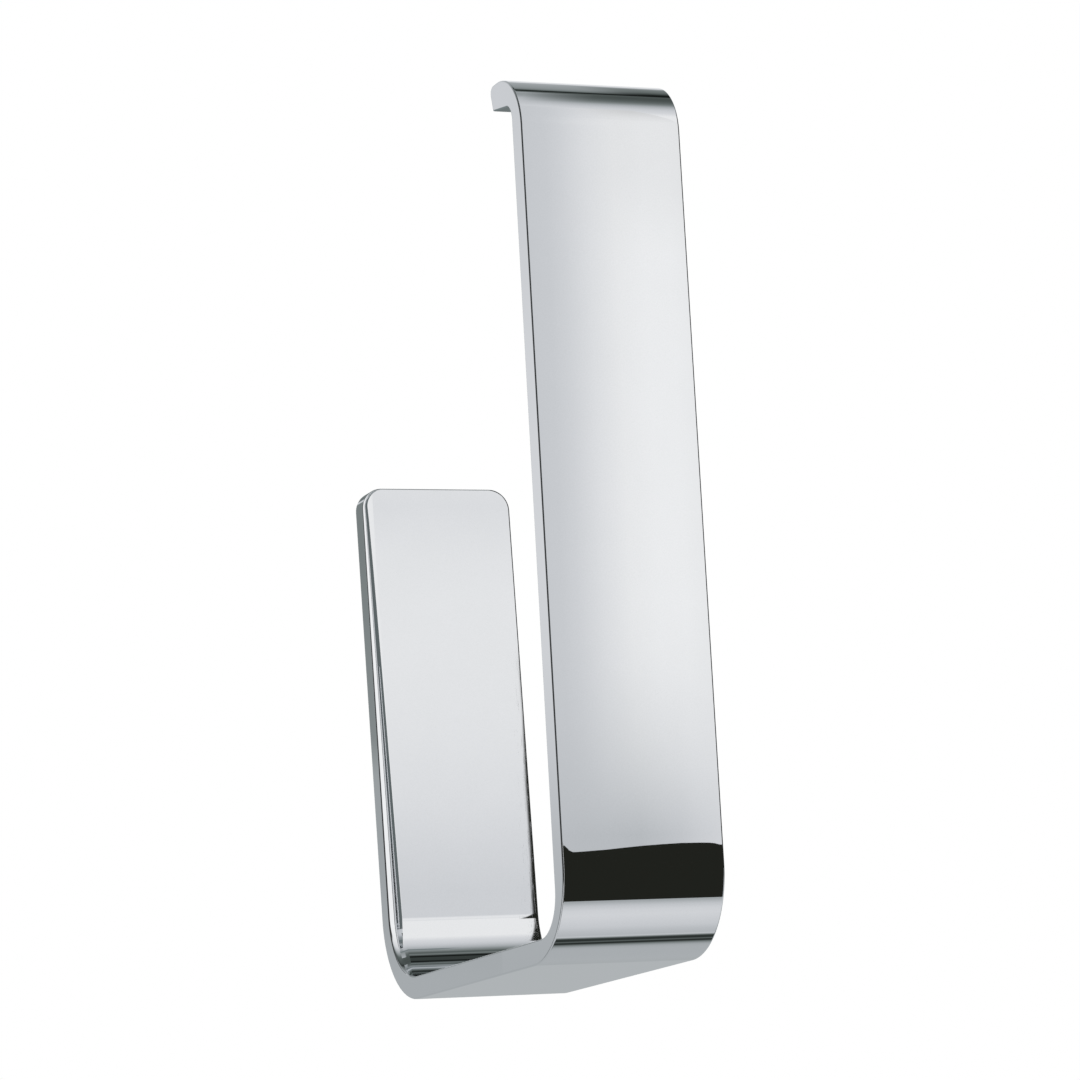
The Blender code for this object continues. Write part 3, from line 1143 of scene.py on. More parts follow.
class Wiring:
    """Adds the nodes of one material or world and joins them up."""

    def __init__(self, tree: bpy.types.NodeTree) -> None:
        """Start from an empty tree."""
        self.tree = tree
        tree.nodes.clear()

    def add(self, kind: str, inputs: dict[Any, Source] | None = None, **settings: Any) -> bpy.types.Node:
        """Add a node, set it up, and feed its inputs with values or other nodes' outputs.

        Args:
            kind: The node's type, without its common beginning.
            inputs: What each input takes, by its name or number.
            settings: The node's own properties.

        Returns:
            The node.
        """
        node = self.tree.nodes.new("ShaderNode" + kind)
        for name, value in settings.items():
            setattr(node, name, value)
        for key, value in (inputs or {}).items():
            if isinstance(value, bpy.types.NodeSocket):
                self.tree.links.new(value, node.inputs[key])
            else:
                node.inputs[key].default_value = value
        return node

    def math(self, operation: str, *values: Source) -> Socket:
        """Add a sum, product or other operation on plain numbers."""
        return self.add("Math", dict(enumerate(values)), operation=operation).outputs[0]

    def rise(self, value: Source, low: float, high: float, start: float = 0.0, end: float = 1.0) -> Socket:
        """Go smoothly from start to end as the value goes from low to high, flat beyond both."""
        limits = {"Value": value, "From Min": low, "From Max": high, "To Min": start, "To Max": end}
        return self.add("MapRange", limits, interpolation_type="SMOOTHSTEP").outputs[0]

    def noise(self, where: Socket, scale: float, detail: float = 3.0, rough: float = 0.5) -> Socket:
        """Add cloudy noise, whose grain is one over the scale across."""
        values = {"Vector": where, "Scale": scale, "Detail": detail, "Roughness": rough}
        return self.add("TexNoise", values).outputs[0]

    def stretched(self, where: Socket, scale: Sequence[float]) -> Socket:
        """Squeeze or stretch the space that a pattern lies in."""
        return self.add("Mapping", {"Vector": where, "Scale": scale}).outputs[0]

    def blend(self, share: Source, first: Source, second: Source) -> Socket:
        """Mix two colours, all first at 0 and all second at 1."""
        return self.add("Mix", {0: share, 6: first, 7: second}, data_type="RGBA").outputs[2]

    def split(self, place: Socket) -> tuple[Socket, Socket, Socket]:
        """Take a place apart into X, Y and Z."""
        return tuple(self.add("SeparateXYZ", {0: place}).outputs)

    def ramp(self, value: Source, stops: Sequence[tuple[float, Sequence[float]]]) -> Socket:
        """Look a value up in a row of colours, mixed evenly between their spots.

        Args:
            value: Where to look, from 0 to 1.
            stops: Each colour's spot and red, green and blue.

        Returns:
            The colour.
        """
        node = self.add("ValToRGB", {0: value})
        places = node.color_ramp.elements
        while len(places) < len(stops):
            places.new(0.5)
        for place, (spot, _) in zip(places, stops):
            place.position = spot
        for place, (_, colour) in zip(places, stops):
            place.color = (*colour, 1.0)
        return node.outputs[0]

    def bump(self, height: Socket, depth: float, below: Socket | None = None) -> Socket:
        """Raise a surface by a pattern, on top of another bump if there is one.

        Args:
            height: The pattern, from 0 to 1.
            depth: How much its 1 lies above its 0.
            below: The other bump's normal.

        Returns:
            The bent normal.
        """
        inputs: dict[Any, Source] = {"Height": height, "Distance": depth, "Strength": 1.0}
        if below is not None:
            inputs["Normal"] = below
        return self.add("Bump", inputs).outputs[0]

    def surface(self, **inputs: Source) -> None:
        """End in a Principled shader.

        Args:
            inputs: What its inputs take, by their names with _ for spaces.
        """
        named = {name.replace("_", " "): value for name, value in inputs.items()}
        shader = self.add("BsdfPrincipled", named)
        self.add("OutputMaterial", {"Surface": shader.outputs[0]})


@dataclass(frozen=True)
class Finish:
    """A finish that can make its material."""

    name: str

    def material(self) -> bpy.types.Material:
        """Give the material, made once and shared by the pieces that wear it.

        Returns:
            The material.
        """
        made = bpy.data.materials.get(self.name)
        if made is None:
            made = bpy.data.materials.new(self.name)
            made.use_nodes = True
            wiring = Wiring(made.node_tree)
            self.wire(wiring, wiring.add("TexCoord").outputs["Object"])
        return made

    def wire(self, wiring: Wiring, place: Socket) -> None:
        """Build the nodes. Each finish has its own."""
        raise NotImplementedError


@dataclass(frozen=True)
class ChromeFinish(Finish):
    """Mirror chrome: faintly wavy from the polishing, with a fine grain and hairlines."""

    colour: tuple[float, float, float] = (0.80, 0.81, 0.825)
    shade: tuple[float, float, float] = (0.775, 0.787, 0.80)
    roughness: float = 0.010
    smudge_roughness: float = 0.018
    smudge_scale: float = 90.0
    smudge_share: float = 0.35
    grain_scale: float = 4200.0
    wave_scale: float = 55.0
    wave_depth: float = 0.000006
    hairline_scales: tuple[float, float, float] = (9000.0, 9000.0, 260.0)
    hairline_depth: float = 0.00000004

    def wire(self, wiring: Wiring, place: Socket) -> None:
        """Tint the metal by grain, dull it by faint smudges, and bend it by waves and hairlines.

        Args:
            wiring: The material's nodes.
            place: The place on the piece.
        """
        grain = wiring.noise(place, self.grain_scale, 2.0)
        smudge = wiring.noise(place, self.smudge_scale, 4.0, 0.6)
        rest = wiring.math("MULTIPLY", grain, 1.0 - self.smudge_share)
        mixed = wiring.math("MULTIPLY_ADD", smudge, self.smudge_share, rest)
        tint = wiring.blend(wiring.rise(mixed, 0.30, 0.70), (*self.colour, 1.0), (*self.shade, 1.0))
        dull = wiring.rise(smudge, 0.52, 0.78, self.roughness, self.smudge_roughness)
        waves = wiring.bump(wiring.noise(place, self.wave_scale, 1.0), self.wave_depth)
        lines = wiring.noise(wiring.stretched(place, self.hairline_scales), 1.0, 2.0)
        brushed = wiring.bump(wiring.rise(lines, 0.60, 0.72), self.hairline_depth, waves)
        wiring.surface(Base_Color=tint, Metallic=1.0, Roughness=dull, Normal=brushed)


@dataclass(frozen=True)
class ZincFinish(Finish):
    """Bright zinc plating: a cool satin skin with faint blue and straw clouds."""

    colour: tuple[float, float, float] = (0.56, 0.57, 0.58)
    blue: tuple[float, float, float] = (0.50, 0.545, 0.60)
    straw: tuple[float, float, float] = (0.61, 0.58, 0.50)
    roughness: float = 0.30
    dull_roughness: float = 0.48
    cloud_scale: float = 240.0
    straw_scale: float = 430.0
    straw_stretch: tuple[float, float, float] = (1.0, 1.0, 0.45)
    spangle_scale: float = 1500.0
    spangle_share: float = 0.35
    pit_scale: float = 2600.0
    pit_depth: float = 0.000012

    def wire(self, wiring: Wiring, place: Socket) -> None:
        """Cloud the colour in two tints, vary the gloss, and pit the skin finely.

        Args:
            wiring: The material's nodes.
            place: The place on the piece.
        """
        cloud = wiring.noise(place, self.cloud_scale, 4.0, 0.6)
        straws = wiring.stretched(place, self.straw_stretch)
        straw = wiring.noise(straws, self.straw_scale, 3.0, 0.55)
        cool = wiring.blend(wiring.rise(cloud, 0.46, 0.70), (*self.colour, 1.0), (*self.blue, 1.0))
        tint = wiring.blend(wiring.rise(straw, 0.52, 0.78, 0.0, 0.7), cool, (*self.straw, 1.0))
        cells = wiring.add("TexVoronoi", {"Vector": place, "Scale": self.spangle_scale})
        spangle = wiring.math("MULTIPLY", cells.outputs["Color"], self.spangle_share)
        clouds = wiring.math("MULTIPLY", cloud, 1.0 - self.spangle_share)
        gloss = wiring.math("ADD", clouds, spangle)
        dull = wiring.rise(gloss, 0.2, 0.8, self.roughness, self.dull_roughness)
        pits = wiring.bump(wiring.noise(place, self.pit_scale, 3.0), self.pit_depth)
        wiring.surface(Base_Color=tint, Metallic=1.0, Roughness=dull, Normal=pits)


@dataclass(frozen=True)
class StainlessFinish(Finish):
    """Turned stainless steel with fine rings round the screw's axis."""

    colour: tuple[float, float, float] = (0.50, 0.50, 0.49)
    dark: tuple[float, float, float] = (0.40, 0.39, 0.38)
    roughness: float = 0.18
    dull_roughness: float = 0.34
    ring_scales: tuple[float, float, float] = (30000.0, 600.0, 600.0)
    ring_depth: float = 0.000004
    patch_scale: float = 900.0

    def wire(self, wiring: Wiring, place: Socket) -> None:
        """Ring the metal along X, and darken and dull it in patches.

        Args:
            wiring: The material's nodes.
            place: The place on the piece.
        """
        rings = wiring.noise(wiring.stretched(place, self.ring_scales), 1.0, 2.0)
        patches = wiring.noise(place, self.patch_scale, 4.0, 0.6)
        tint = wiring.blend(wiring.rise(patches, 0.45, 0.75), (*self.colour, 1.0), (*self.dark, 1.0))
        dull = wiring.rise(rings, 0.3, 0.7, self.roughness, self.dull_roughness)
        turned = wiring.bump(rings, self.ring_depth)
        wiring.surface(Base_Color=tint, Metallic=1.0, Roughness=dull, Normal=turned)


@dataclass(frozen=True)
class NylonFinish(Finish):
    """Moulded grey nylon, slightly mottled, with the mould's fine spark-worn texture."""

    colour: tuple[float, float, float] = (0.42, 0.43, 0.44)
    pale: tuple[float, float, float] = (0.50, 0.51, 0.52)
    roughness: float = 0.46
    dull_roughness: float = 0.62
    flow_scale: float = 500.0
    flow_stretch: tuple[float, float, float] = (1.0, 0.35, 1.0)
    grain_scale: float = 5200.0
    grain_depth: float = 0.00002
    refraction: float = 1.53

    def wire(self, wiring: Wiring, place: Socket) -> None:
        """Mottle the colour, vary the gloss and give the skin a fine grain.

        Args:
            wiring: The material's nodes.
            place: The place on the piece.
        """
        flow = wiring.noise(wiring.stretched(place, self.flow_stretch), self.flow_scale, 4.0, 0.6)
        grain = wiring.noise(place, self.grain_scale, 3.0)
        tint = wiring.blend(wiring.rise(flow, 0.45, 0.80), (*self.colour, 1.0), (*self.pale, 1.0))
        dull = wiring.rise(grain, 0.3, 0.7, self.roughness, self.dull_roughness)
        rough = wiring.bump(grain, self.grain_depth)
        wiring.surface(
            Base_Color=tint, Metallic=0.0, Roughness=dull, IOR=self.refraction, Normal=rough)


@dataclass(frozen=True)
class Tone:
    """A grey of the studio as the chrome sees it, at a place along a row of tones."""

    place: float
    level: float

    def tint(self) -> tuple[float, float, float]:
        """Give the tone as a colour: the darker, the less red, and bluest between light and dark.

        Returns:
            Red, green and blue. The green is the level.
        """
        dark = max(0.0, 1.0 - self.level)
        red = 1.0 - 0.06 * dark - 0.14 * dark ** 3
        blue = 1.0 + 0.16 * dark * self.level - 0.09 * dark ** 3
        return self.level * red, self.level, self.level * blue


@dataclass(frozen=True)
class ToneRow:
    """Tones along a line, from its first place to its last."""

    tones: tuple[Tone, ...]

    def wire(self, wiring: Wiring, where: Socket) -> Socket:
        """Look up the colour at a place on the line, mixed evenly between the tones beside it.

        Args:
            wiring: The nodes to add to.
            where: The place on the line.

        Returns:
            The colour there.
        """
        first, last = self.tones[0].place, self.tones[-1].place
        share = wiring.add("MapRange", {"Value": where, "From Min": first, "From Max": last}).outputs[0]
        return wiring.ramp(
            share, [((tone.place - first) / (last - first), tone.tint()) for tone in self.tones])


@dataclass(frozen=True)
class StudioSurround:
    """The light tent round the holder: white to the camera, and soft tones in the chrome.

    The tones run round the X axis by degrees, 0 towards the room and a right angle upwards. The
    right of the tent has one row below the horizon and one above it, and the left has one row
    in all. They blend over the seam. A dark belt near the horizon runs round the right end and
    the back left. Every pair of limits is of the view's unit direction, from none to full.
    """

    right_below: ToneRow = ToneRow((
        Tone(-180, 0.47), Tone(-174, 0.487), Tone(-166, 0.458), Tone(-160, 0.476), Tone(-148, 0.503),
        Tone(-120, 0.51), Tone(-115, 0.48), Tone(-112, 0.37), Tone(-109, 0.19), Tone(-107, 0.03),
        Tone(-105, 0.03), Tone(-103.4, 0.15), Tone(-101.5, 0.03), Tone(-98, 0.05),
        Tone(-96.5, 0.25), Tone(-94.3, 0.68), Tone(-92.5, 0.57),
        Tone(-85, 0.63), Tone(-79, 0.71), Tone(-70, 0.76), Tone(-62, 0.80), Tone(-55.5, 0.775),
        Tone(-49.5, 0.67), Tone(-43.5, 0.45), Tone(-38, 0.60), Tone(-20, 0.72), Tone(0, 0.86),
    ))
    right_above: ToneRow = ToneRow((
        Tone(0, 0.78), Tone(6.2, 0.775), Tone(6.5, 0.768), Tone(6.8, 0.815), Tone(7.25, 0.855),
        Tone(8.0, 0.92), Tone(9.2, 0.962), Tone(10.3, 0.975), Tone(11.4, 0.945), Tone(12.1, 0.88),
        Tone(13.2, 1.0), Tone(43, 1.0), Tone(50, 0.83), Tone(57, 0.74), Tone(61, 0.65),
        Tone(66, 0.50), Tone(69.5, 0.34), Tone(72.5, 0.24), Tone(76, 0.165), Tone(82, 0.11),
        Tone(88, 0.09), Tone(95.0, 0.11), Tone(97.0, 0.012), Tone(102.5, 0.015), Tone(106, 0.07),
        Tone(113.5, 0.17), Tone(120, 0.21), Tone(127, 0.24), Tone(135, 0.50), Tone(138, 0.76),
        Tone(142, 0.86), Tone(180, 0.58),
    ))
    left: ToneRow = ToneRow((
        Tone(-180, 0.46), Tone(-120, 0.50), Tone(-60, 0.75), Tone(-20, 1.0), Tone(20, 1.12),
        Tone(45, 1.0), Tone(60, 0.80), Tone(72, 0.40), Tone(80, 0.15), Tone(97, 0.08),
        Tone(101, 0.03), Tone(106, 0.20), Tone(120, 0.40), Tone(150, 0.60), Tone(160, 0.72),
        Tone(163.5, 0.74), Tone(166, 0.79), Tone(169.5, 0.80), Tone(171.4, 0.72), Tone(172.6, 0.62),
        Tone(173.6, 0.53), Tone(175, 0.49), Tone(180, 0.46),
    ))
    seam: tuple[float, float] = (-0.16, 0.16)
    belt_level: float = 0.05
    belt_foot: tuple[float, float] = (-0.25, -0.12)
    belt_top: tuple[float, float] = (0.60, 0.45)
    right_end: tuple[float, float] = (0.70, 0.80)
    back: tuple[float, float] = (-0.60, -0.52)
    back_left: tuple[float, float] = (-0.44, -0.52)
    fill: float = 0.95

    def build(self) -> None:
        """Wire the world: white to the camera, tones to the chrome, and plain fill to the rest."""
        world = bpy.data.worlds.new("studio_surround")
        world.use_nodes = True
        bpy.context.scene.world = world
        wiring = Wiring(world.node_tree)
        way = wiring.add("TexCoord").outputs["Generated"]
        x, y, z = wiring.split(way)
        about = wiring.math("ARCTAN2", z, wiring.math("MULTIPLY", y, -1.0))
        degrees = wiring.math("MULTIPLY", about, math.degrees(1.0))
        above = wiring.math("GREATER_THAN", degrees, 0.0)
        right = wiring.blend(
            above, self.right_below.wire(wiring, degrees), self.right_above.wire(wiring, degrees))
        tones = wiring.blend(wiring.rise(x, *self.seam), self.left.wire(wiring, degrees), right)
        dark = self.even(self.belt_level)
        belt = wiring.math("MULTIPLY", wiring.rise(z, *self.belt_foot), wiring.rise(z, *self.belt_top))
        beside = wiring.math("MULTIPLY", wiring.rise(x, *self.right_end), belt)
        behind = wiring.math("MULTIPLY", wiring.rise(y, *self.back), wiring.rise(x, *self.back_left))
        tones = wiring.blend(beside, tones, dark)
        tones = wiring.blend(wiring.math("MULTIPLY", behind, belt), tones, dark)
        rays = wiring.add("LightPath").outputs
        seen = wiring.math("MAXIMUM", rays["Is Camera Ray"], rays["Is Transmission Ray"])
        colour = wiring.blend(rays["Is Glossy Ray"], self.even(self.fill), tones)
        colour = wiring.blend(seen, colour, self.even(1.0))
        light = wiring.add("Background", {"Color": colour, "Strength": 1.0})
        wiring.add("OutputWorld", {"Surface": light.outputs[0]})

    @staticmethod
    def even(level: float) -> tuple[float, float, float, float]:
        """Give a plain grey."""
        return level, level, level, 1.0


@dataclass(frozen=True)
class Card:
    """A flat card in the studio that shows in shiny metal only, and casts no shadow."""

    name: str
    corners: Sequence[Sequence[float]]

    def build(self) -> None:
        """Put the card in the studio and light it by its own colour, as solid as its cover."""
        mesh = bpy.data.meshes.new(self.name)
        mesh.from_pydata([tuple(corner) for corner in self.corners], [], [range(len(self.corners))])
        card = place_object(self.name, mesh)
        card.visible_camera = False
        card.visible_diffuse = False
        card.visible_shadow = False
        made = bpy.data.materials.new(self.name)
        made.use_nodes = True
        wiring = Wiring(made.node_tree)
        place = wiring.add("TexCoord").outputs["Object"]
        light = wiring.add("Emission", {"Color": self.colour(wiring, place), "Strength": 1.0})
        clear = wiring.add("BsdfTransparent")
        whole = wiring.add(
            "MixShader", {0: self.cover(wiring, place), 1: clear.outputs[0], 2: light.outputs[0]})
        wiring.add("OutputMaterial", {"Surface": whole.outputs[0]})
        mesh.materials.append(made)

    def cover(self, wiring: Wiring, place: Socket) -> Source:
        """Give how solid the card is, from 0 to 1 by the place on it."""
        return 1.0

    def colour(self, wiring: Wiring, place: Socket) -> Source:
        """Give the card's colour, even or by the place on it. Each kind of card has its own."""
        raise NotImplementedError


@dataclass(frozen=True)
class PlainCard(Card):
    """A card of one colour."""

    paint: tuple[float, float, float]

    def colour(self, wiring: Wiring, place: Socket) -> Source:
        """Give the paint."""
        return *self.paint, 1.0


@dataclass(frozen=True)
class FrontPanel(Card):
    """A pale upright panel that the front arm sees, with a glow across it and a dim foot.

    Its tones change across it, and sink towards the foot by the square of the depth below
    foot_line. Above bent_from they lean to the right. Each shade dims its upper right: over a
    height, over a width, and by how much at most.
    """

    across: ToneRow = ToneRow((
        Tone(0.0026, 0.72), Tone(0.0065, 0.74), Tone(0.0096, 0.79), Tone(0.0148, 0.91),
        Tone(0.0201, 1.005), Tone(0.0258, 1.045), Tone(0.0310, 1.045), Tone(0.0358, 1.01),
        Tone(0.0376, 0.98),
    ))
    foot: ToneRow = ToneRow((
        Tone(0.0026, 0.63), Tone(0.0078, 0.62), Tone(0.0201, 0.615), Tone(0.0279, 0.69),
        Tone(0.0323, 0.76), Tone(0.0376, 0.82),
    ))
    foot_line: float = 0.0046
    foot_depth: float = 0.0448
    bent_from: float = 0.098
    lean: float = 0.29
    shades: tuple[tuple[tuple[float, float], tuple[float, float], float], ...] = (
        ((0.0649, 0.0839), (0.0096, 0.0253), 0.06),
        ((0.100, 0.140), (0.0080, 0.0240), 0.20),
    )

    def colour(self, wiring: Wiring, place: Socket) -> Source:
        """Build the panel's tones.

        Args:
            wiring: The card's nodes.
            place: The place on it.

        Returns:
            The colour there.
        """
        x, _, z = wiring.split(place)
        above = wiring.math("MAXIMUM", wiring.math("SUBTRACT", z, self.bent_from), 0.0)
        x = wiring.math("MULTIPLY_ADD", above, -self.lean, x)
        depth = wiring.math("DIVIDE", wiring.math("SUBTRACT", self.foot_line, z), self.foot_depth)
        sunk = wiring.math("POWER", wiring.add("Clamp", {"Value": depth}).outputs[0], 2.0)
        tones = wiring.blend(sunk, self.across.wire(wiring, x), self.foot.wire(wiring, x))
        dims = [wiring.math("MULTIPLY", wiring.rise(z, *height, 0.0, most), wiring.rise(x, *width))
                for height, width, most in self.shades]
        return wiring.blend(wiring.math("ADD", *dims), tones, (0.0, 0.0, 0.0, 1.0))


@dataclass(frozen=True)
class EdgeCard(PlainCard):
    """A card with a soft left edge that leans or bends, and one soft level edge.

    The left edge lies at start, plus lean times the height, plus spread times the distance from
    the foot of the rear arm, which keeps its angle to the side as seen from there. The level
    edge fades in over two heights.
    """

    start: float
    lean: float
    spread: float
    fade: tuple[float, float]
    foot: float = -0.050
    softness: float = 0.0012

    def cover(self, wiring: Wiring, place: Socket) -> Source:
        """Fade in across the left edge and along the height.

        Args:
            wiring: The tree to wire in.
            place: The place on the card.

        Returns:
            How solid the card is there.
        """
        x, y, z = wiring.split(place)
        rise = wiring.math("SUBTRACT", z, self.foot)
        squares = wiring.math("MULTIPLY_ADD", rise, rise, wiring.math("MULTIPLY", y, y))
        reach = wiring.math("SQRT", squares)
        past = wiring.math("MULTIPLY_ADD", reach, -self.spread, wiring.math("SUBTRACT", x, self.start))
        past = wiring.math("MULTIPLY_ADD", z, -self.lean, past)
        left = wiring.rise(past, -self.softness / 2, self.softness / 2)
        return wiring.math("MULTIPLY", left, wiring.rise(z, *self.fade))


@dataclass(frozen=True)
class ShadedCard(Card):
    """A card whose tone changes along one axis, and which may fade out along X."""

    axis: Axis
    tones: ToneRow
    solid: ToneRow | None = None

    def colour(self, wiring: Wiring, place: Socket) -> Source:
        """Look the tone up along the axis."""
        return self.tones.wire(wiring, wiring.split(place)[self.axis])

    def cover(self, wiring: Wiring, place: Socket) -> Source:
        """Look up along X how solid the card is, which is all over without such a row."""
        return self.solid.wire(wiring, wiring.split(place)[0]) if self.solid else 1.0


@dataclass(frozen=True)
class Floor:
    """A plain pale floor well below the holder."""

    height: float = -0.95
    half_size: float = 12.0
    colour: tuple[float, float, float] = (0.93, 0.93, 0.93)
    pale: tuple[float, float, float] = (0.95, 0.95, 0.95)
    mottle_scale: float = 3.0
    roughness: float = 0.9

    def build(self) -> None:
        """Lay the floor, which the chrome knows by the surround's own tones."""
        reach = (-self.half_size, self.half_size)
        corners = np.insert(rectangle(reach, reach), Axis.Z, self.height, axis=1)
        mesh = bpy.data.meshes.new("floor")
        mesh.from_pydata(corners.tolist(), [], [(0, 1, 2, 3)])
        floor = place_object("floor", mesh)
        floor.visible_glossy = False
        made = bpy.data.materials.new("pale_floor")
        made.use_nodes = True
        wiring = Wiring(made.node_tree)
        place = wiring.add("TexCoord").outputs["Object"]
        mottle = wiring.rise(wiring.noise(place, self.mottle_scale), 0.3, 0.7)
        tint = wiring.blend(mottle, (*self.colour, 1.0), (*self.pale, 1.0))
        wiring.surface(Base_Color=tint, Roughness=self.roughness)
        mesh.materials.append(made)


@dataclass(frozen=True)
class SoftLamp:
    """A large soft lamp that shapes the unpolished pieces. The chrome doesn't see it."""

    name: str
    place: tuple[float, float, float]
    size: float
    watts: float

    def build(self) -> None:
        """Hang the lamp and turn it to the holder."""
        lamp = bpy.data.lights.new(self.name, "AREA")
        lamp.shape = "SQUARE"
        lamp.size = self.size
        lamp.energy = self.watts
        thing = bpy.data.objects.new(self.name, lamp)
        bpy.context.scene.collection.objects.link(thing)
        spot = Vector(self.place)
        thing.location = spot
        thing.rotation_mode = "QUATERNION"
        thing.rotation_quaternion = (-spot).to_track_quat("-Z", "Y")
        thing.visible_glossy = False
        thing.visible_camera = False


@dataclass(frozen=True)
class Viewpoint:
    """The camera: where it looks, from which side and how far, and its roll."""

    target: tuple[float, float, float] = (0.004103, -0.044, 0.018105)
    from_left: float = math.radians(22.957)
    upwards: float = math.radians(10.583)
    roll: float = math.radians(4.184)
    distance: float = 0.765263
    lens: float = 140.0
    sensor: float = 36.0
    nearest: float = 0.01

    def build(self) -> None:
        """Place the camera so that its own axes lie along the view's right, up and back."""
        side, tilt = self.from_left, self.upwards
        ahead = Vector((math.sin(side) * math.cos(tilt), math.cos(side) * math.cos(tilt), math.sin(tilt)))
        level = Vector((math.cos(side), -math.sin(side), 0.0))
        above = level.cross(ahead)
        right = math.cos(self.roll) * level - math.sin(self.roll) * above
        up = math.sin(self.roll) * level + math.cos(self.roll) * above
        lens = bpy.data.cameras.new("viewpoint")
        lens.lens = self.lens
        lens.sensor_width = self.sensor
        lens.clip_start = self.nearest
        camera = bpy.data.objects.new("viewpoint", lens)
        bpy.context.scene.collection.objects.link(camera)
        turn = Matrix((right, up, -ahead)).transposed().to_4x4()
        camera.matrix_world = Matrix.Translation(Vector(self.target) - self.distance * ahead) @ turn
        bpy.context.scene.camera = camera


def upright(left: float, right: float, low: float, high: float, y: float) -> list[tuple[float, ...]]:
    """Give the corners of an upright card that faces the room."""
    return [(left, y, low), (right, y, low), (right, y, high), (left, y, high)]


def level(left: float, right: float, near: float, far: float, z: float) -> list[tuple[float, ...]]:
    """Give the corners of a level card."""
    return [(left, near, z), (right, near, z), (right, far, z), (left, far, z)]


def wavy_panel() -> list[tuple[float, ...]]:
    """Give the front panel's corners: three straight edges, and a wavy lower one.

    Returns:
        The corners, along the lower edge and back along the top.
    """
    y, edge, top, right = -0.135, -0.04143, 0.140, 0.0363
    drops = (
        (-0.030, 0.0), (0.0050, 0.40), (0.0059, 1.30), (0.0066, 1.60), (0.0073, 1.60),
        (0.0092, 1.52), (0.0111, 1.42), (0.0130, 1.33), (0.0168, 1.04), (0.0205, 0.78),
        (0.0243, 0.59), (0.0280, 0.45), (0.0318, 0.46), (0.0337, 0.51), (0.0348, 0.64),
        (0.0358, 0.90), (right, 0.90),
    )
    millimetre = 0.001
    lower = [(x, y, edge - drop * millimetre) for x, drop in drops]
    return lower + [(right, y, top), (drops[0][0], y, top)]


def facing_side(near: float, far: float, low: float, high: float, x: float) -> list[tuple[float, ...]]:
    """Give the corners of an upright card that faces the side."""
    return [(x, near, low), (x, far, low), (x, far, high), (x, near, high)]


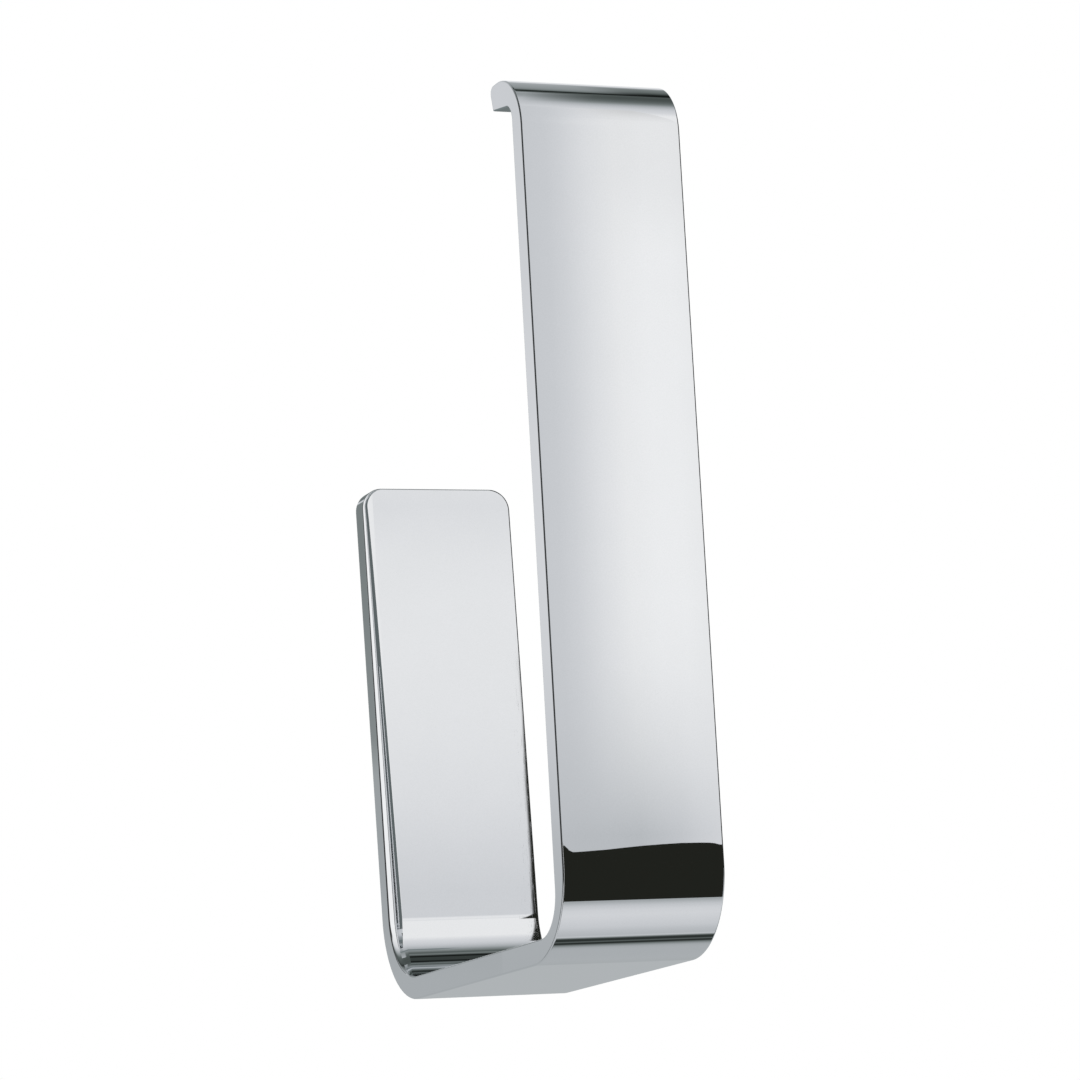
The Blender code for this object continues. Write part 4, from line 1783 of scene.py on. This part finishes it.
@dataclass(frozen=True)
class Studio:
    """The surround, the cards, the floor, the lamp and the camera.

    The front panel lights the front arm, two lids its top bend and the third the rear bend. The
    dark flag makes the front bend's black band, and the two edge cards, one above the other, the
    dark right edge of the rear arm. The other cards give the sides, the edges and the lip their
    greys.
    """

    black: tuple[float, float, float] = (0.0178, 0.0189, 0.0150)

    def front_cards(self) -> list[Card]:
        """List the cards towards the room, with the front panel first."""
        arm_edge = upright(0.250, 1.800, -0.100, 0.120, -0.600)
        bend_edge = upright(0.250, 1.800, 0.068, 0.900, -0.601)
        return [
            FrontPanel("front_panel", wavy_panel()),
            EdgeCard("arm_edge_card", arm_edge, self.black,
                     start=0.2597, lean=0.025, spread=0.0, fade=(0.118, 0.104)),
            EdgeCard("bend_edge_card", bend_edge, self.black,
                     start=0.0140, lean=0.0, spread=0.4085, fade=(0.068, 0.072)),
            PlainCard("dark_flag", upright(-0.060, 0.340, -0.385, -0.020, -0.4495), self.black),
        ]

    def lids(self) -> list[Card]:
        """List the level cards above the bends."""
        before = ToneRow((
            Tone(-0.1352, 0.73), Tone(-0.1230, 0.70), Tone(-0.1160, 0.67), Tone(-0.1130, 0.62),
            Tone(-0.1090, 0.58), Tone(-0.1055, 0.51), Tone(-0.1027, 0.44), Tone(-0.1000, 0.40),
            Tone(-0.0970, 0.38), Tone(-0.0945, 0.37), Tone(-0.0925, 0.43), Tone(-0.0895, 0.34),
        ))
        before_solid = ToneRow((
            Tone(0.0085, 1.0), Tone(0.0102, 0.81), Tone(0.0120, 0.63), Tone(0.0150, 0.41),
            Tone(0.0190, 0.19), Tone(0.0226, 0.05), Tone(0.0280, 0.0),
        ))
        behind = ToneRow((
            Tone(-0.0830, 0.10), Tone(-0.0810, 0.17), Tone(-0.0780, 0.29), Tone(-0.0710, 0.36),
            Tone(-0.0620, 0.39), Tone(-0.0540, 0.42), Tone(-0.0400, 0.48), Tone(-0.0350, 0.55),
        ))
        behind_solid = ToneRow((
            Tone(0.0190, 1.0), Tone(0.0226, 0.90), Tone(0.0260, 0.60), Tone(0.0300, 0.20),
            Tone(0.0330, 0.05), Tone(0.0350, 0.0),
        ))
        rear = ToneRow((
            Tone(-0.0500, 0.15), Tone(-0.0410, 0.13), Tone(-0.0380, 0.22), Tone(-0.0340, 0.22),
            Tone(-0.0290, 0.10), Tone(-0.0240, 0.012), Tone(-0.0190, 0.012), Tone(-0.0140, 0.055),
            Tone(0.0350, 0.055),
        ))
        places = {
            "lid_before": level(-0.020, 0.030, -0.1352, -0.0895, 0.140),
            "lid_behind": level(-0.020, 0.036, -0.0830, -0.0350, 0.140),
            "lid_rear": level(0.043, 0.085, -0.050, 0.035, 0.100),
        }
        rows = ((before, before_solid), (behind, behind_solid), (rear, None))
        return [ShadedCard(name, place, Axis.Y, tones, solid)
                for (name, place), (tones, solid) in zip(places.items(), rows)]

    def wall_card(self) -> Card:
        """Give the card behind the wall's left, which darkens upwards."""
        return ShadedCard("wall_card", upright(-0.160, -0.050, -0.06, 0.25, 0.300), Axis.Z, ToneRow((
            Tone(-0.030, 0.49), Tone(-0.020, 0.475), Tone(-0.012, 0.455), Tone(-0.003, 0.435),
            Tone(0.008, 0.42), Tone(0.024, 0.415), Tone(0.034, 0.30), Tone(0.060, 0.285),
            Tone(0.085, 0.25),
        )))

    def dark_cards(self) -> list[Card]:
        """List the plain dark cards behind the lip, behind the wall and at the left side."""
        lip_place = upright(-0.024, 0.050, 0.070, 0.0855, -0.058)
        back_place = upright(-0.020, 0.250, -0.060, 0.22, 0.300)
        side_place = facing_side(-0.1349, -0.098, -0.40, 0.15, -0.030)
        return [
            PlainCard("lip_flag", lip_place, (0.21, 0.245, 0.25)),
            PlainCard("back_card", back_place, (0.17, 0.195, 0.195)),
            PlainCard("side_flag", side_place, (0.05, 0.055, 0.055)),
        ]

    def build(self) -> None:
        """Set the studio up, and show colours about as they are written."""
        StudioSurround().build()
        for card in [*self.front_cards(), self.wall_card(), *self.lids(), *self.dark_cards()]:
            card.build()
        Floor().build()
        SoftLamp("key_lamp", place=(-0.9, -1.1, 1.3), size=0.9, watts=9.0).build()
        Viewpoint().build()
        bpy.context.scene.view_settings.view_transform = "Standard"
        LOG.info("the studio is lit")


def main() -> None:
    """Build the holder from the wall outwards, then the studio."""
    zinc, nylon = ZincFinish("bright_zinc"), NylonFinish("grey_nylon_skin")
    WallBracket().build(zinc)
    for side, height in SCREW_HEIGHTS.items():
        WallPlug(f"{side}_barbed_plug", f"{side}_wall_plug", height).build(nylon)
        WallScrew(f"{side}_threaded_screw", f"{side}_wall_screw", height).build(zinc)
    HolderBand().build(ChromeFinish("mirror_chrome"))
    SetScrew().build(StainlessFinish("turned_stainless"))
    Studio().build()


if __name__ == "__main__":
    main()
